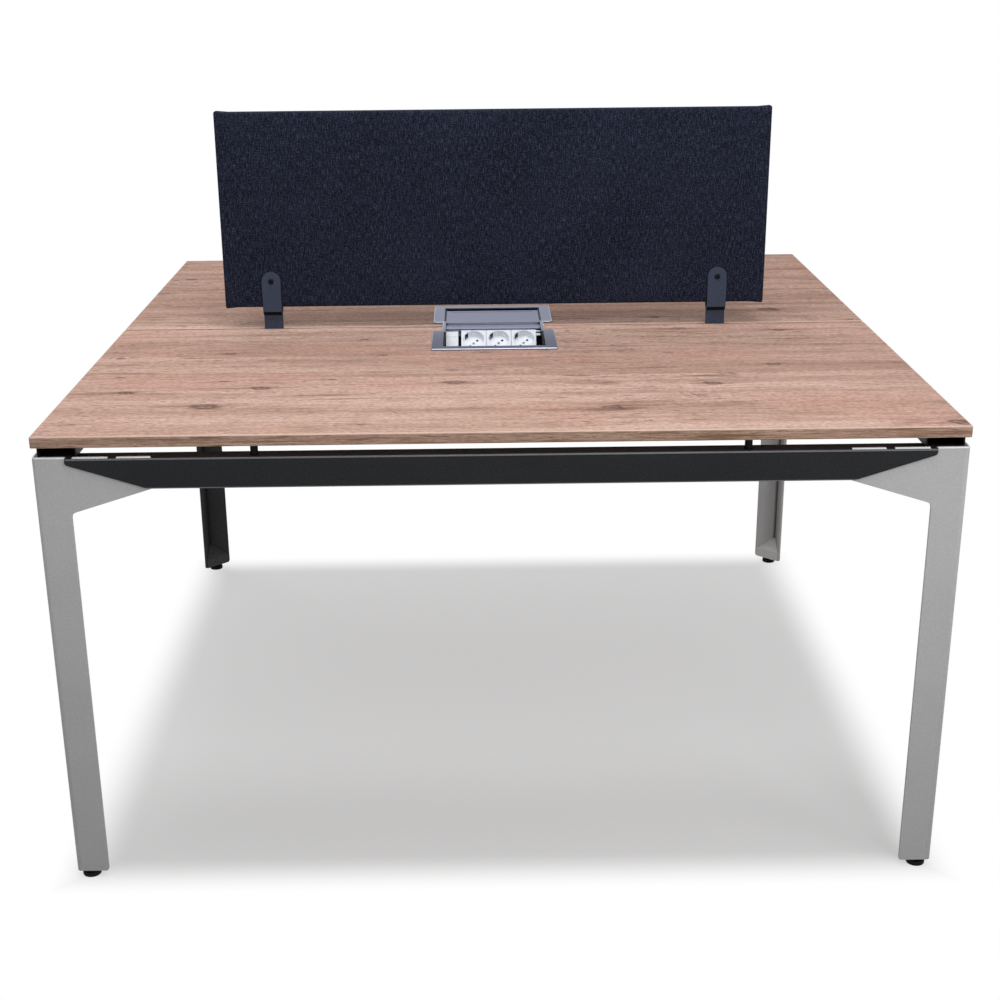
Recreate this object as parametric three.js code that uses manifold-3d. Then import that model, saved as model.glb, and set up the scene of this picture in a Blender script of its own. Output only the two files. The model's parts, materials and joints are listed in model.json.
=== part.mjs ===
// Benching desk for two: a pair of worktops on one steel frame, with a fabric screen and a power box
// over the split between them. Millimetres, +Z up, X along the split, the front user sits at -Y.
// The origin is on the floor under the middle of the split.
import * as THREE from "three";
import { mergeVertices } from "three/addons/utils/BufferGeometryUtils.js";
import Module from "manifold-3d";

const wasm = await Module();
wasm.setup();

// Clearance between pieces that are fastened together
const FIT = 0.3;

// How far a cutting shape runs past the face that it opens
const OVERCUT = 1;

// Steps in a rounded corner, sides of a bar, of a turned foot and of a wide round, and weld distance
const CORNER_STEPS = 5;
const BAR_SIDES = 16;
const FOOT_SIDES = 24;
const WIDE_SIDES = 40;
const WELD = 1e-4;

// Worktops
const TOP_WIDTH = 1400;
const TOP_DEPTH = 700;
const TOP_THICKNESS = 18;
const TOP_HEIGHT = 755;
const SPLIT_GAP = 10;
const HALF_WIDTH = TOP_WIDTH / 2;
const HALF_DEPTH = TOP_DEPTH + SPLIT_GAP / 2;
const TOP_UNDERSIDE = TOP_HEIGHT - TOP_THICKNESS;

// Legs, measured from their outer corner
const LEG_PROUD = 1;
const LEG_PLATE = 52.5;
const LEG_SIDE = 50;
const LEG_SHEET = 5;
const LEG_BEND = 8;
const LEG_BOTTOM = 12;
const LEG_TOP = 722;
const ARM_REACH = 178;
const ARM_CORNER = 633;
const ARM_FILLET = 7;
const ARM_FLANGE = 30;

// Foot gussets and levelling feet
const GUSSET_SHEET = 2.5;
const GUSSET_BOTTOM = 12;
const GUSSET_LIP_TOP = 33;
const GUSSET_APEX = 62;
const GUSSET_MARGIN = 2;
const FOOT_U = 21;
const FOOT_V = 14;
const FOOT_RADIUS = 15;
const FOOT_PAD_HEIGHT = 9;
const FOOT_CHAMFER = 2;
const STUD_RADIUS = 4;
const STUD_TOP = 33;

// Front and rear beams
const BEAM_SHEET = 2.7;
const BEAM_TOP = 720;
const BEAM_BOTTOM = 672;
const BEAM_HALF_LENGTH = 651;
const BEAM_HALF_BOTTOM = 528;
const BEAM_END_LOW = 711;
const BEAM_END_ROUND = 4.5;
const BEAM_FLANGE = 32;
const BEAM_LIP = 15;
const SLOT_SPANS = [
  [522, 575],
  [587, 641],
];
const SLOT_ROUND = 1;
const POST_X = 370;
const POST_SETBACK = 16;
const POST_RADIUS = 6.8;

// Side rails
const RAIL_INNER = 634;
const RAIL_OUTER = 692.5;
const RAIL_SHEET = 2;

// Centre beam under the split, its hangers and the split supports
const CENTRE_TOP = 683;
const CENTRE_BOTTOM = 645;
const CENTRE_HALF_WIDTH = 30;
const CENTRE_HALF_LENGTH = 623;
const CENTRE_SHEET = 2.5;
const HANGER_SHEET = 3;
const HANGER_HALF_WIDTH = 40;
const HANGER_SHELF = 56;
const SUPPORT_X = 250;
const SUPPORT_WIDTH = 60;
const SUPPORT_SHEET = 3;
const SUPPORT_TOP_HALF = 45;
const SUPPORT_FOOT_HALF = 26;

// Screen
const SCREEN_WIDTH = 1010;
const SCREEN_THICKNESS = 22;
const SCREEN_BOTTOM = 797;
const SCREEN_TOP = 1153;
const SCREEN_CORNER = 6;
const CLOTH = 1.5;

// Screen straps, anchors and bolts, whose crown and rim are shares of a head's radius and height
const STRAP_X = 417;
const STRAP_WIDTH = 35;
const STRAP_SHEET = 3;
const STRAP_TOP = 864;
const STRAP_HEAD_BOTTOM = 789;
const STRAP_TAIL_TOP = 780.5;
const STRAP_BOTTOM = 709;
const SCREEN_BOLT_RADIUS = 3.6;
const SCREEN_BOLT_HEAD = 5.2;
const SCREEN_BOLT_HEAD_HEIGHT = 2.4;
const ANCHOR_REACH = 45;
const CLAMP_BOLT_Z = 719;
const CLAMP_BOLT_RADIUS = 3;
const CLAMP_BOLT_HEAD = 5.5;
const CLAMP_BOLT_HEAD_HEIGHT = 5;
const BOLT_PLAY = 0.5;
const HEAD_CROWN = 0.8;
const HEAD_RIM = 0.5;

// Power box, which sits a little to the left of the middle and towards the front user
const BOX_X = -3;
const BOX_Y = -18;
const NOTCH_HALF_WIDTH = 94.2;
const NOTCH_REACH = 165;
const BEZEL_HALF_WIDTH = 113.3;
const BEZEL_WAIST = 95.5;
const BEZEL_WAIST_REACH = 36;
const BEZEL_REACH = 180;
const BEZEL_TOP = 758.6;
const BEZEL_LIP = 1.5;
const BEZEL_ROUND = 9;
const BEZEL_CORNER = 4;
const OPENING_HALF_WIDTH = 92.3;
const OPENING_WAIST = 89;
const OPENING_WAIST_REACH = 44;
const OPENING_REACH = 160;
const TRACK_INNER = 89.2;
const TRACK_OUTER = 93.4;
const TRACK_GROOVE = 91.8;
const TRACK_HALF_LENGTH = 162;
const LID_HALF_WIDTH = 91.4;
const LID_SHEET = 1.9;
const LID_PLAY = 0.3;
const FRONT_LID_Z = 750.3;
const FRONT_LID_SPAN = [-12, 126];
const REAR_LID_Z = 754;
const REAR_LID_SPAN = [22, 127];
const PULL_SETBACK = 8;
const PULL_WIDTH = 10;
const PULL_DEPTH = 0.8;
const TRAY_HALF_WIDTH = 93.4;
const TRAY_HALF_LENGTH = 163.5;
const TRAY_SHEET = 1.2;
const TRAY_BOTTOM = 690;
const TRAY_TOP = 749;

// Socket row: the faces lean towards the user
const FACE_TILT = Math.atan2(25, 37);
const FACE_HEIGHT = 44.65;
const FACE_CENTRE_Y = -28.5;
const FACE_CENTRE_Z = 736.7;
const MODULE_DEPTH = 17;
const SOCKET_WIDTH = 46.6;
const SOCKET_PITCH = 47.2;
const FIRST_SOCKET_X = -37;
const SOCKET_COUNT = 3;
const WELL_RADIUS = 19.5;
const WELL_DEPTH = 14;
const DATA_X = -77.5;
const DATA_WIDTH = 23;
const DATA_SUNK = 2.5;
const CARRIER_HALF_WIDTH = 38;
const CARRIER_HALF_LENGTH = 91.5;
const CARRIER_SHOULDER = 709;
const CARRIER_RIDGE = 734.6;

// Mains inlet under the tray
const INLET_Y = 110;
const INLET_BODY = [28, 20];
const INLET_FLANGE = [42, 26];
const INLET_WELL = [22, 14];
const INLET_LOW = 668;
const INLET_HIGH = 700;
const INLET_WELL_DEPTH = 14;

// Finishes
const finish = (color, roughness, metalness) =>
  new THREE.MeshStandardMaterial({ color, roughness, metalness });
const oak = finish("#b9967f", 0.55, 0);
const lightGrey = finish("#a9a9a9", 0.5, 0.2);
const darkGrey = finish("#262627", 0.5, 0.2);
const anthracite = finish("#292b2d", 0.6, 0.2);
const black = finish("#141414", 0.6, 0.1);
const slate = finish("#3d3f4b", 0.5, 0.2);
const chipboard = finish("#8f7a5c", 0.9, 0);
const charcoalCloth = finish("#22252f", 0.95, 0);
const satinAluminium = finish("#9094a2", 0.35, 0.8);
const zinc = finish("#9a9a98", 0.4, 0.8);
const whitePlastic = finish("#f2f2f5", 0.35, 0);

// Solid of a geometry, for joining and cutting
function solid(geometry) {
  const bare = geometry.index ? geometry.toNonIndexed() : geometry.clone();
  bare.deleteAttribute("normal");
  bare.deleteAttribute("uv");
  const merged = mergeVertices(bare, WELD);
  return new wasm.Manifold(
    new wasm.Mesh({
      numProp: 3,
      vertProperties: new Float32Array(merged.attributes.position.array),
      triVerts: new Uint32Array(merged.index.array),
    }),
  );
}

// Geometry of a solid
function surface(body) {
  const mesh = body.getMesh();
  const geometry = new THREE.BufferGeometry();
  geometry.setAttribute("position", new THREE.BufferAttribute(mesh.vertProperties, 3));
  geometry.setIndex(new THREE.BufferAttribute(mesh.triVerts, 1));
  const faceted = geometry.toNonIndexed();
  faceted.computeVertexNormals();
  return faceted;
}

const join = (first, ...others) =>
  surface(others.reduce((sum, other) => sum.add(solid(other)), solid(first)));

const cut = (first, ...others) =>
  surface(others.reduce((rest, other) => rest.subtract(solid(other)), solid(first)));

// Box between two corners
function box([x0, x1], [y0, y1], [z0, z1]) {
  const geometry = new THREE.BoxGeometry(x1 - x0, y1 - y0, z1 - z0);
  return geometry.translate((x0 + x1) / 2, (y0 + y1) / 2, (z0 + z1) / 2);
}

// Closed outline from corners [a, b] or [a, b, rounding], where rounding is the length taken off each side
function outline(corners) {
  const shape = new THREE.Shape();
  const at = (i) => new THREE.Vector2(...corners[(i + corners.length) % corners.length].slice(0, 2));
  corners.forEach(([, , rounding = 0], i) => {
    const corner = at(i);
    const start = at(i - 1).sub(corner).setLength(rounding).add(corner);
    const end = at(i + 1).sub(corner).setLength(rounding).add(corner);
    if (i === 0) shape.moveTo(start.x, start.y);
    else shape.lineTo(start.x, start.y);
    if (rounding > 0) shape.quadraticCurveTo(corner.x, corner.y, end.x, end.y);
  });
  shape.closePath();
  return shape;
}

const extrude = (shape, depth) =>
  new THREE.ExtrudeGeometry(shape, { depth, bevelEnabled: false, curveSegments: CORNER_STEPS });

// Outline in X and Y, pulled along Z
const alongZ = (shape, [z0, z1]) => extrude(shape, z1 - z0).translate(0, 0, z0);

// Outline in X and Z, pulled along Y
const QUARTER_TURN = Math.PI / 2;
const alongY = (shape, [y0, y1]) => extrude(shape, y1 - y0).rotateX(QUARTER_TURN).translate(0, y1, 0);

// Outline in Y and Z, pulled along X
const alongX = (shape, [x0, x1]) =>
  extrude(shape, x1 - x0).rotateX(QUARTER_TURN).rotateZ(QUARTER_TURN).translate(x0, 0, 0);

// Round bar along Y
function barAlongY(radius, [y0, y1], x, z, sides = BAR_SIDES) {
  const geometry = new THREE.CylinderGeometry(radius, radius, y1 - y0, sides);
  return geometry.translate(x, (y0 + y1) / 2, z);
}

// Round bar along Z
function barAlongZ(radius, [z0, z1], x, y, sides = BAR_SIDES) {
  const geometry = new THREE.CylinderGeometry(radius, radius, z1 - z0, sides);
  return geometry.rotateX(QUARTER_TURN).translate(x, y, (z0 + z1) / 2);
}

// Turned piece along Z from [radius, z] points
function turned(points, sides) {
  const profile = points.map(([r, z]) => new THREE.Vector2(r, z));
  return new THREE.LatheGeometry(profile, sides).rotateX(QUARTER_TURN);
}

const desk = new THREE.Group();

function add(name, geometry, material, parent = desk) {
  const mesh = new THREE.Mesh(geometry, material);
  mesh.name = name;
  parent.add(mesh);
  return mesh;
}

const SIDES = [
  ["left", -1],
  ["right", 1],
];
const ENDS = [
  ["front", -1],
  ["rear", 1],
];

// Worktop of one user, at -Y or +Y, with a notch for the power box in its inner edge
function worktop(sy) {
  const outer = sy * HALF_DEPTH;
  const inner = (sy * SPLIT_GAP) / 2;
  const notch = BOX_Y + sy * NOTCH_REACH;
  const corners = [
    [-HALF_WIDTH, outer],
    [HALF_WIDTH, outer],
    [HALF_WIDTH, inner],
    [BOX_X + NOTCH_HALF_WIDTH, inner],
    [BOX_X + NOTCH_HALF_WIDTH, notch],
    [BOX_X - NOTCH_HALF_WIDTH, notch],
    [BOX_X - NOTCH_HALF_WIDTH, inner],
    [-HALF_WIDTH, inner],
  ];
  return alongZ(outline(corners), [TOP_UNDERSIDE, TOP_HEIGHT]);
}

// Outer faces of the legs
const LEG_FACE_X = HALF_WIDTH + LEG_PROUD;
const LEG_FACE_Y = HALF_DEPTH - BEAM_SHEET - FIT;

// Leg in its own corner: X is the distance in from the side face, Y the distance in from the end face.
// Two tabs on its arm stand in the slots of the beam.
function leg() {
  const section = outline([
    [0, LEG_SIDE],
    [0, 0, LEG_BEND],
    [LEG_PLATE, 0],
    [LEG_PLATE, LEG_SHEET],
    [LEG_SHEET, LEG_SHEET, LEG_BEND - LEG_SHEET],
    [LEG_SHEET, LEG_SIDE],
  ]);
  const beamEnd = LEG_FACE_X - BEAM_HALF_LENGTH - FIT;
  const armTop = BEAM_TOP - BEAM_SHEET - FIT;
  const armRoot = beamEnd - LEG_SHEET;
  const arm = outline([
    [armRoot, ARM_CORNER - LEG_PLATE],
    [LEG_PLATE, ARM_CORNER - LEG_PLATE],
    [LEG_PLATE, ARM_CORNER, ARM_FILLET],
    [ARM_REACH, BEAM_BOTTOM],
    [ARM_REACH, armTop],
    [armRoot, armTop],
  ]);
  const flange = box([LEG_PLATE, ARM_REACH], [0, ARM_FLANGE], [armTop - LEG_SHEET, armTop]);
  const post = alongZ(section, [LEG_BOTTOM, LEG_TOP]);
  const seatDepth = [-OVERCUT, LEG_SHEET + OVERCUT];
  const beamSeat = box([beamEnd, LEG_PLATE + OVERCUT], seatDepth, [armTop, LEG_TOP + OVERCUT]);
  const tabs = SLOT_SPANS.map(([near, far]) => {
    const tip = Math.min(LEG_FACE_X - near - FIT, ARM_REACH);
    return box([LEG_FACE_X - far + FIT, tip], [0, LEG_SHEET], [armTop - LEG_SHEET, LEG_TOP]);
  });
  const blank = cut(join(post, alongY(arm, [0, LEG_SHEET]), flange), beamSeat);
  return join(blank, ...tabs);
}

// Foot gusset: a level plate for the stud, a lip across the corner and a sloping cover
function footGusset() {
  const near = LEG_SHEET + FIT;
  const endU = LEG_PLATE - GUSSET_MARGIN;
  const endV = LEG_SIDE - GUSSET_MARGIN;
  const corner = outline([
    [near, near, LEG_BEND],
    [endU, near],
    [near, endV],
  ]);
  const lipWidth = GUSSET_SHEET * Math.SQRT2;
  const lip = outline([
    [endU, near],
    [near, endV],
    [near, endV - lipWidth],
    [endU - lipWidth, near],
  ]);
  const fall = GUSSET_APEX - GUSSET_LIP_TOP;
  const fallU = -fall / (endU - near);
  const fallV = -fall / (endV - near);
  const level = GUSSET_APEX - near * (fallU + fallV);
  const slope = new THREE.Matrix4().set(1, 0, 0, 0, 0, 1, 0, 0, fallU, fallV, 1, level, 0, 0, 0, 1);
  const cover = alongZ(corner, [-GUSSET_SHEET, 0]).applyMatrix4(slope);
  const plate = alongZ(corner, [GUSSET_BOTTOM, GUSSET_BOTTOM + GUSSET_SHEET]);
  const lipPlate = alongZ(lip, [GUSSET_BOTTOM, GUSSET_LIP_TOP - GUSSET_SHEET / 2]);
  const holeSpan = [GUSSET_BOTTOM - OVERCUT, GUSSET_BOTTOM + GUSSET_SHEET + OVERCUT];
  const studHole = barAlongZ(STUD_RADIUS + BOLT_PLAY, holeSpan, FOOT_U, FOOT_V);
  return cut(join(plate, lipPlate, cover), studHole);
}

// Levelling foot: round pad and threaded stud
function levellingFoot() {
  const profile = [
    [0, 0],
    [FOOT_RADIUS - FOOT_CHAMFER, 0],
    [FOOT_RADIUS, FOOT_CHAMFER],
    [FOOT_RADIUS, FOOT_PAD_HEIGHT - FOOT_CHAMFER],
    [FOOT_RADIUS - FOOT_CHAMFER, FOOT_PAD_HEIGHT],
    [STUD_RADIUS, FOOT_PAD_HEIGHT],
    [STUD_RADIUS, STUD_TOP],
    [0, STUD_TOP],
  ];
  return turned(profile, FOOT_SIDES).translate(FOOT_U, FOOT_V, 0);
}

// Front beam: C section with tapered ends and two slots at each end of its top flange
function beam() {
  const face = outline([
    [-BEAM_HALF_BOTTOM, BEAM_BOTTOM],
    [BEAM_HALF_BOTTOM, BEAM_BOTTOM],
    [BEAM_HALF_LENGTH, BEAM_END_LOW, BEAM_END_ROUND],
    [BEAM_HALF_LENGTH, BEAM_TOP],
    [-BEAM_HALF_LENGTH, BEAM_TOP],
    [-BEAM_HALF_LENGTH, BEAM_END_LOW, BEAM_END_ROUND],
  ]);
  const front = -HALF_DEPTH;
  const web = alongY(face, [front, front + BEAM_SHEET]);
  const length = [-BEAM_HALF_LENGTH, BEAM_HALF_LENGTH];
  const armTip = LEG_FACE_X - ARM_REACH - FIT;
  const lipLength = [-armTip, armTip];
  const flange = box(length, [front, front + BEAM_FLANGE], [BEAM_TOP - BEAM_SHEET, BEAM_TOP]);
  const lip = box(lipLength, [front, front + BEAM_LIP], [BEAM_BOTTOM, BEAM_BOTTOM + BEAM_SHEET]);
  const near = front + BEAM_SHEET;
  const far = near + LEG_SHEET + 2 * FIT;
  const slots = SIDES.flatMap(([, side]) =>
    SLOT_SPANS.map(([start, end]) => {
      const slot = outline([
        [side * start, near, SLOT_ROUND],
        [side * end, near, SLOT_ROUND],
        [side * end, far, SLOT_ROUND],
        [side * start, far, SLOT_ROUND],
      ]);
      return alongZ(slot, [BEAM_TOP - BEAM_SHEET - OVERCUT, BEAM_TOP + OVERCUT]);
    }),
  );
  return cut(join(web, flange, lip), ...slots);
}

// Side rail: shallow channel, open above, that carries the worktop ends
function sideRail() {
  const low = BEAM_TOP + FIT;
  const high = TOP_UNDERSIDE - FIT;
  const section = outline([
    [RAIL_INNER, low],
    [RAIL_OUTER, low],
    [RAIL_OUTER, high],
    [RAIL_OUTER - RAIL_SHEET, high],
    [RAIL_OUTER - RAIL_SHEET, low + RAIL_SHEET],
    [RAIL_INNER + RAIL_SHEET, low + RAIL_SHEET],
    [RAIL_INNER + RAIL_SHEET, high],
    [RAIL_INNER, high],
  ]);
  const reach = LEG_FACE_Y - LEG_SHEET - FIT;
  return alongY(section, [-reach, reach]);
}

// Centre beam: channel, open below, under the split
function centreBeam() {
  const inside = CENTRE_HALF_WIDTH - CENTRE_SHEET;
  const roof = CENTRE_TOP - CENTRE_SHEET;
  const section = outline([
    [-CENTRE_HALF_WIDTH, CENTRE_BOTTOM],
    [-inside, CENTRE_BOTTOM],
    [-inside, roof],
    [inside, roof],
    [inside, CENTRE_BOTTOM],
    [CENTRE_HALF_WIDTH, CENTRE_BOTTOM],
    [CENTRE_HALF_WIDTH, CENTRE_TOP],
    [-CENTRE_HALF_WIDTH, CENTRE_TOP],
  ]);
  return alongX(section, [-CENTRE_HALF_LENGTH, CENTRE_HALF_LENGTH]);
}

// Hanger: angle on the side rail with a shelf for the centre beam
function centreHanger() {
  const back = RAIL_INNER - FIT;
  const shelfTop = CENTRE_BOTTOM - FIT;
  const section = outline([
    [back - HANGER_SHELF, shelfTop - HANGER_SHEET],
    [back, shelfTop - HANGER_SHEET],
    [back, TOP_UNDERSIDE - RAIL_SHEET],
    [back - HANGER_SHEET, TOP_UNDERSIDE - RAIL_SHEET],
    [back - HANGER_SHEET, shelfTop],
    [back - HANGER_SHELF, shelfTop],
  ]);
  return alongY(section, [-HANGER_HALF_WIDTH, HANGER_HALF_WIDTH]);
}

// Split support: I section between the centre beam and the inner edges of both worktops
function splitSupport() {
  const low = CENTRE_TOP + FIT;
  const high = TOP_UNDERSIDE - FIT;
  const web = SUPPORT_SHEET / 2;
  const half = [
    [SUPPORT_FOOT_HALF, low],
    [SUPPORT_FOOT_HALF, low + SUPPORT_SHEET],
    [web, low + SUPPORT_SHEET],
    [web, high - SUPPORT_SHEET],
    [SUPPORT_TOP_HALF, high - SUPPORT_SHEET],
    [SUPPORT_TOP_HALF, high],
  ];
  const mirrored = half.map(([y, z]) => [-y, z]).reverse();
  return alongX(outline([...half, ...mirrored]), [-SUPPORT_WIDTH / 2, SUPPORT_WIDTH / 2]);
}

// Height of the screen bolt: the middle of the straps' round heads
const SCREEN_BOLT_Z = STRAP_TOP - STRAP_WIDTH / 2;
const SCREEN_FACE = SCREEN_THICKNESS / 2;

function screenBoltHoles() {
  const radius = SCREEN_BOLT_RADIUS + BOLT_PLAY;
  const reach = [-SCREEN_THICKNESS, SCREEN_THICKNESS];
  return SIDES.map(([, side]) => barAlongY(radius, reach, side * STRAP_X, SCREEN_BOLT_Z));
}

// Cloth cover of the screen: a sleeve, open below
function screenCover() {
  const x = SCREEN_WIDTH / 2;
  const y = SCREEN_FACE;
  const plan = outline([
    [-x, -y, SCREEN_CORNER],
    [x, -y, SCREEN_CORNER],
    [x, y, SCREEN_CORNER],
    [-x, y, SCREEN_CORNER],
  ]);
  const outer = alongZ(plan, [SCREEN_BOTTOM, SCREEN_TOP]);
  const inX = x - 2 * CLOTH;
  const inY = y - CLOTH;
  const inner = box([-inX, inX], [-inY, inY], [SCREEN_BOTTOM - CLOTH, SCREEN_TOP - CLOTH]);
  return cut(outer, inner, ...screenBoltHoles());
}

// Board inside the screen cover
function screenBoard() {
  const x = SCREEN_WIDTH / 2 - 2 * CLOTH - FIT;
  const y = SCREEN_FACE - CLOTH - FIT;
  const board = box([-x, x], [-y, y], [SCREEN_BOTTOM + FIT, SCREEN_TOP - CLOTH - FIT]);
  return cut(board, ...screenBoltHoles());
}

// Front screen strap: head on the screen's face, joggle, and tail down through the split
function strap() {
  const half = STRAP_WIDTH / 2;
  const headBack = -SCREEN_FACE - FIT;
  const headFace = headBack - STRAP_SHEET;
  const tailBack = -FIT;
  const tailFace = tailBack - STRAP_SHEET;
  const section = outline([
    [headFace, SCREEN_BOLT_Z],
    [headFace, STRAP_HEAD_BOTTOM],
    [tailFace, STRAP_TAIL_TOP],
    [tailFace, STRAP_BOTTOM],
    [tailBack, STRAP_BOTTOM],
    [tailBack, STRAP_TAIL_TOP + STRAP_SHEET],
    [headBack, STRAP_HEAD_BOTTOM + STRAP_SHEET],
    [headBack, SCREEN_BOLT_Z],
  ]);
  const crown = barAlongY(half, [headFace, headBack], 0, SCREEN_BOLT_Z, WIDE_SIDES);
  const blank = join(alongX(section, [-half, half]), crown);
  const reach = [-SCREEN_THICKNESS, SCREEN_THICKNESS];
  const boltHole = barAlongY(SCREEN_BOLT_RADIUS + BOLT_PLAY, reach, 0, SCREEN_BOLT_Z);
  const clampHole = barAlongY(CLAMP_BOLT_RADIUS + BOLT_PLAY, reach, 0, CLAMP_BOLT_Z);
  return cut(blank, boltHole, clampHole);
}

// Strap anchor: angle under the worktop that the strap's tail is clamped to
function strapAnchor() {
  const half = STRAP_WIDTH / 2;
  const face = -2 * FIT - STRAP_SHEET;
  const top = TOP_UNDERSIDE - FIT;
  const section = outline([
    [-ANCHOR_REACH, top - STRAP_SHEET],
    [face - STRAP_SHEET, top - STRAP_SHEET],
    [face - STRAP_SHEET, STRAP_BOTTOM],
    [face, STRAP_BOTTOM],
    [face, top],
    [-ANCHOR_REACH, top],
  ]);
  const hole = barAlongY(CLAMP_BOLT_RADIUS + BOLT_PLAY, [-ANCHOR_REACH, 0], 0, CLAMP_BOLT_Z);
  return cut(alongX(section, [-half, half]), hole);
}

// Bolt through a stack of plates along Y, with a head at each end
function throughBolt(radius, headRadius, headHeight, grip) {
  const profile = [
    [0, -grip - headHeight],
    [headRadius * HEAD_CROWN, -grip - headHeight],
    [headRadius, -grip - headHeight * HEAD_RIM],
    [headRadius, -grip],
    [radius, -grip],
    [radius, grip],
    [headRadius, grip],
    [headRadius, grip + headHeight * HEAD_RIM],
    [headRadius * HEAD_CROWN, grip + headHeight],
    [0, grip + headHeight],
  ];
  return turned(profile, BAR_SIDES).rotateX(-QUARTER_TURN);
}

// The same quarter outline in all four quarters
function fourfold(quarter) {
  const turn = (sx, sy) => quarter.map(([x, y, rounding = 0]) => [sx * x, sy * y, rounding]);
  const rear = [...turn(1, 1), ...turn(-1, 1).reverse()];
  const front = [...turn(-1, -1), ...turn(1, -1).reverse()];
  return outline([...rear, ...front]);
}

// Hourglass bezel that covers the notch, with a rebate below for the lid tracks
function bezel() {
  const plan = fourfold([
    [BEZEL_WAIST, BEZEL_WAIST_REACH],
    [BEZEL_HALF_WIDTH, BEZEL_WAIST_REACH, BEZEL_ROUND],
    [BEZEL_HALF_WIDTH, BEZEL_REACH, BEZEL_CORNER],
  ]);
  const window = fourfold([
    [OPENING_WAIST, OPENING_WAIST_REACH],
    [OPENING_HALF_WIDTH, OPENING_WAIST_REACH],
    [OPENING_HALF_WIDTH, OPENING_REACH],
  ]);
  const plate = alongZ(plan, [TOP_HEIGHT + FIT, BEZEL_TOP]);
  const opening = alongZ(window, [TOP_UNDERSIDE, BEZEL_TOP + OVERCUT]);
  const rebateX = TRACK_OUTER + FIT;
  const rebateY = TRACK_HALF_LENGTH + FIT;
  const rebate = box([-rebateX, rebateX], [-rebateY, rebateY], [TOP_UNDERSIDE, BEZEL_TOP - BEZEL_LIP]);
  return cut(plate, opening, rebate);
}

// Lid track: strip with a lower groove for the front lid and an upper groove for the rear lid
function lidTrack() {
  const low = TRAY_TOP + FIT;
  const high = BEZEL_TOP - BEZEL_LIP - FIT;
  const groove = (z) => [
    [TRACK_INNER, z - LID_PLAY],
    [TRACK_GROOVE, z - LID_PLAY],
    [TRACK_GROOVE, z + LID_SHEET + LID_PLAY],
    [TRACK_INNER, z + LID_SHEET + LID_PLAY],
  ];
  const section = outline([
    [TRACK_INNER, high],
    ...groove(REAR_LID_Z).reverse(),
    ...groove(FRONT_LID_Z).reverse(),
    [TRACK_INNER, low],
    [TRACK_OUTER, low],
    [TRACK_OUTER, high],
  ]);
  return alongY(section, [-TRACK_HALF_LENGTH, TRACK_HALF_LENGTH]);
}

// Lid with a finger groove along the edge that faces its user
function lid([front, back], level, pullSide) {
  const top = level + LID_SHEET;
  const plate = box([-LID_HALF_WIDTH, LID_HALF_WIDTH], [front, back], [level, top]);
  const pull = pullSide < 0 ? front + PULL_SETBACK : back - PULL_SETBACK - PULL_WIDTH;
  const pullHalf = TRACK_INNER - PULL_WIDTH;
  const grooveSpan = [top - PULL_DEPTH, top + OVERCUT];
  return cut(plate, box([-pullHalf, pullHalf], [pull, pull + PULL_WIDTH], grooveSpan));
}

// Tray below the tracks, open above, with a hole for the mains inlet
function tray() {
  const x = TRAY_HALF_WIDTH;
  const y = TRAY_HALF_LENGTH;
  const t = TRAY_SHEET;
  const outer = box([-x, x], [-y, y], [TRAY_BOTTOM, TRAY_TOP]);
  const inner = box([t - x, x - t], [t - y, y - t], [TRAY_BOTTOM + t, TRAY_TOP + t]);
  const holeX = INLET_BODY[0] / 2 + FIT;
  const holeY = INLET_BODY[1] / 2 + FIT;
  const holeSpan = [TRAY_BOTTOM - OVERCUT, TRAY_BOTTOM + t + OVERCUT];
  const middle = INLET_Y - BOX_Y;
  const hole = box([-holeX, holeX], [middle - holeY, middle + holeY], holeSpan);
  return cut(outer, inner, hole);
}

// Mains inlet: flanged body with a well that opens downwards
function mainsInlet() {
  const centred = ([width, depth], z) =>
    box([-width / 2, width / 2], [INLET_Y - depth / 2, INLET_Y + depth / 2], z);
  const flangeTop = TRAY_BOTTOM - FIT;
  const flange = centred(INLET_FLANGE, [flangeTop - 2 * TRAY_SHEET, flangeTop]);
  const blank = join(centred(INLET_BODY, [INLET_LOW, INLET_HIGH]), flange);
  return cut(blank, centred(INLET_WELL, [INLET_LOW - OVERCUT, INLET_LOW + INLET_WELL_DEPTH]));
}

// Carrier: ridge on the tray's floor with both module rows leaning against it
function moduleCarrier() {
  const floor = TRAY_BOTTOM + TRAY_SHEET + FIT;
  const section = outline([
    [-CARRIER_HALF_WIDTH, floor],
    [CARRIER_HALF_WIDTH, floor],
    [CARRIER_HALF_WIDTH, CARRIER_SHOULDER],
    [0, CARRIER_RIDGE],
    [-CARRIER_HALF_WIDTH, CARRIER_SHOULDER],
  ]);
  return alongX(section, [-CARRIER_HALF_LENGTH, CARRIER_HALF_LENGTH]);
}

const moduleBlock = (width, sunk) =>
  box([-width / 2, width / 2], [-FACE_HEIGHT / 2, FACE_HEIGHT / 2], [-MODULE_DEPTH, -sunk]);

// Round well in a square face
function socket() {
  const well = barAlongZ(WELL_RADIUS, [-WELL_DEPTH, OVERCUT], 0, 0, WIDE_SIDES);
  return cut(moduleBlock(SOCKET_WIDTH, 0), well);
}

// Worktops
ENDS.forEach(([end, sy]) => add(`worktop_${end}`, worktop(sy), oak));

// Legs with their gussets and feet: three corners are light grey and the rear left one is dark
ENDS.forEach(([end, sy]) =>
  SIDES.forEach(([side, sx]) => {
    const corner = new THREE.Group();
    corner.position.set(sx * LEG_FACE_X, sy * LEG_FACE_Y, 0);
    corner.scale.set(-sx, -sy, 1);
    desk.add(corner);
    const paint = sx < 0 && sy > 0 ? darkGrey : lightGrey;
    add(`leg_${end}_${side}`, leg(), paint, corner);
    add(`foot_gusset_${end}_${side}`, footGusset(), paint, corner);
    add(`levelling_foot_${end}_${side}`, levellingFoot(), black, corner);
  }),
);

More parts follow.
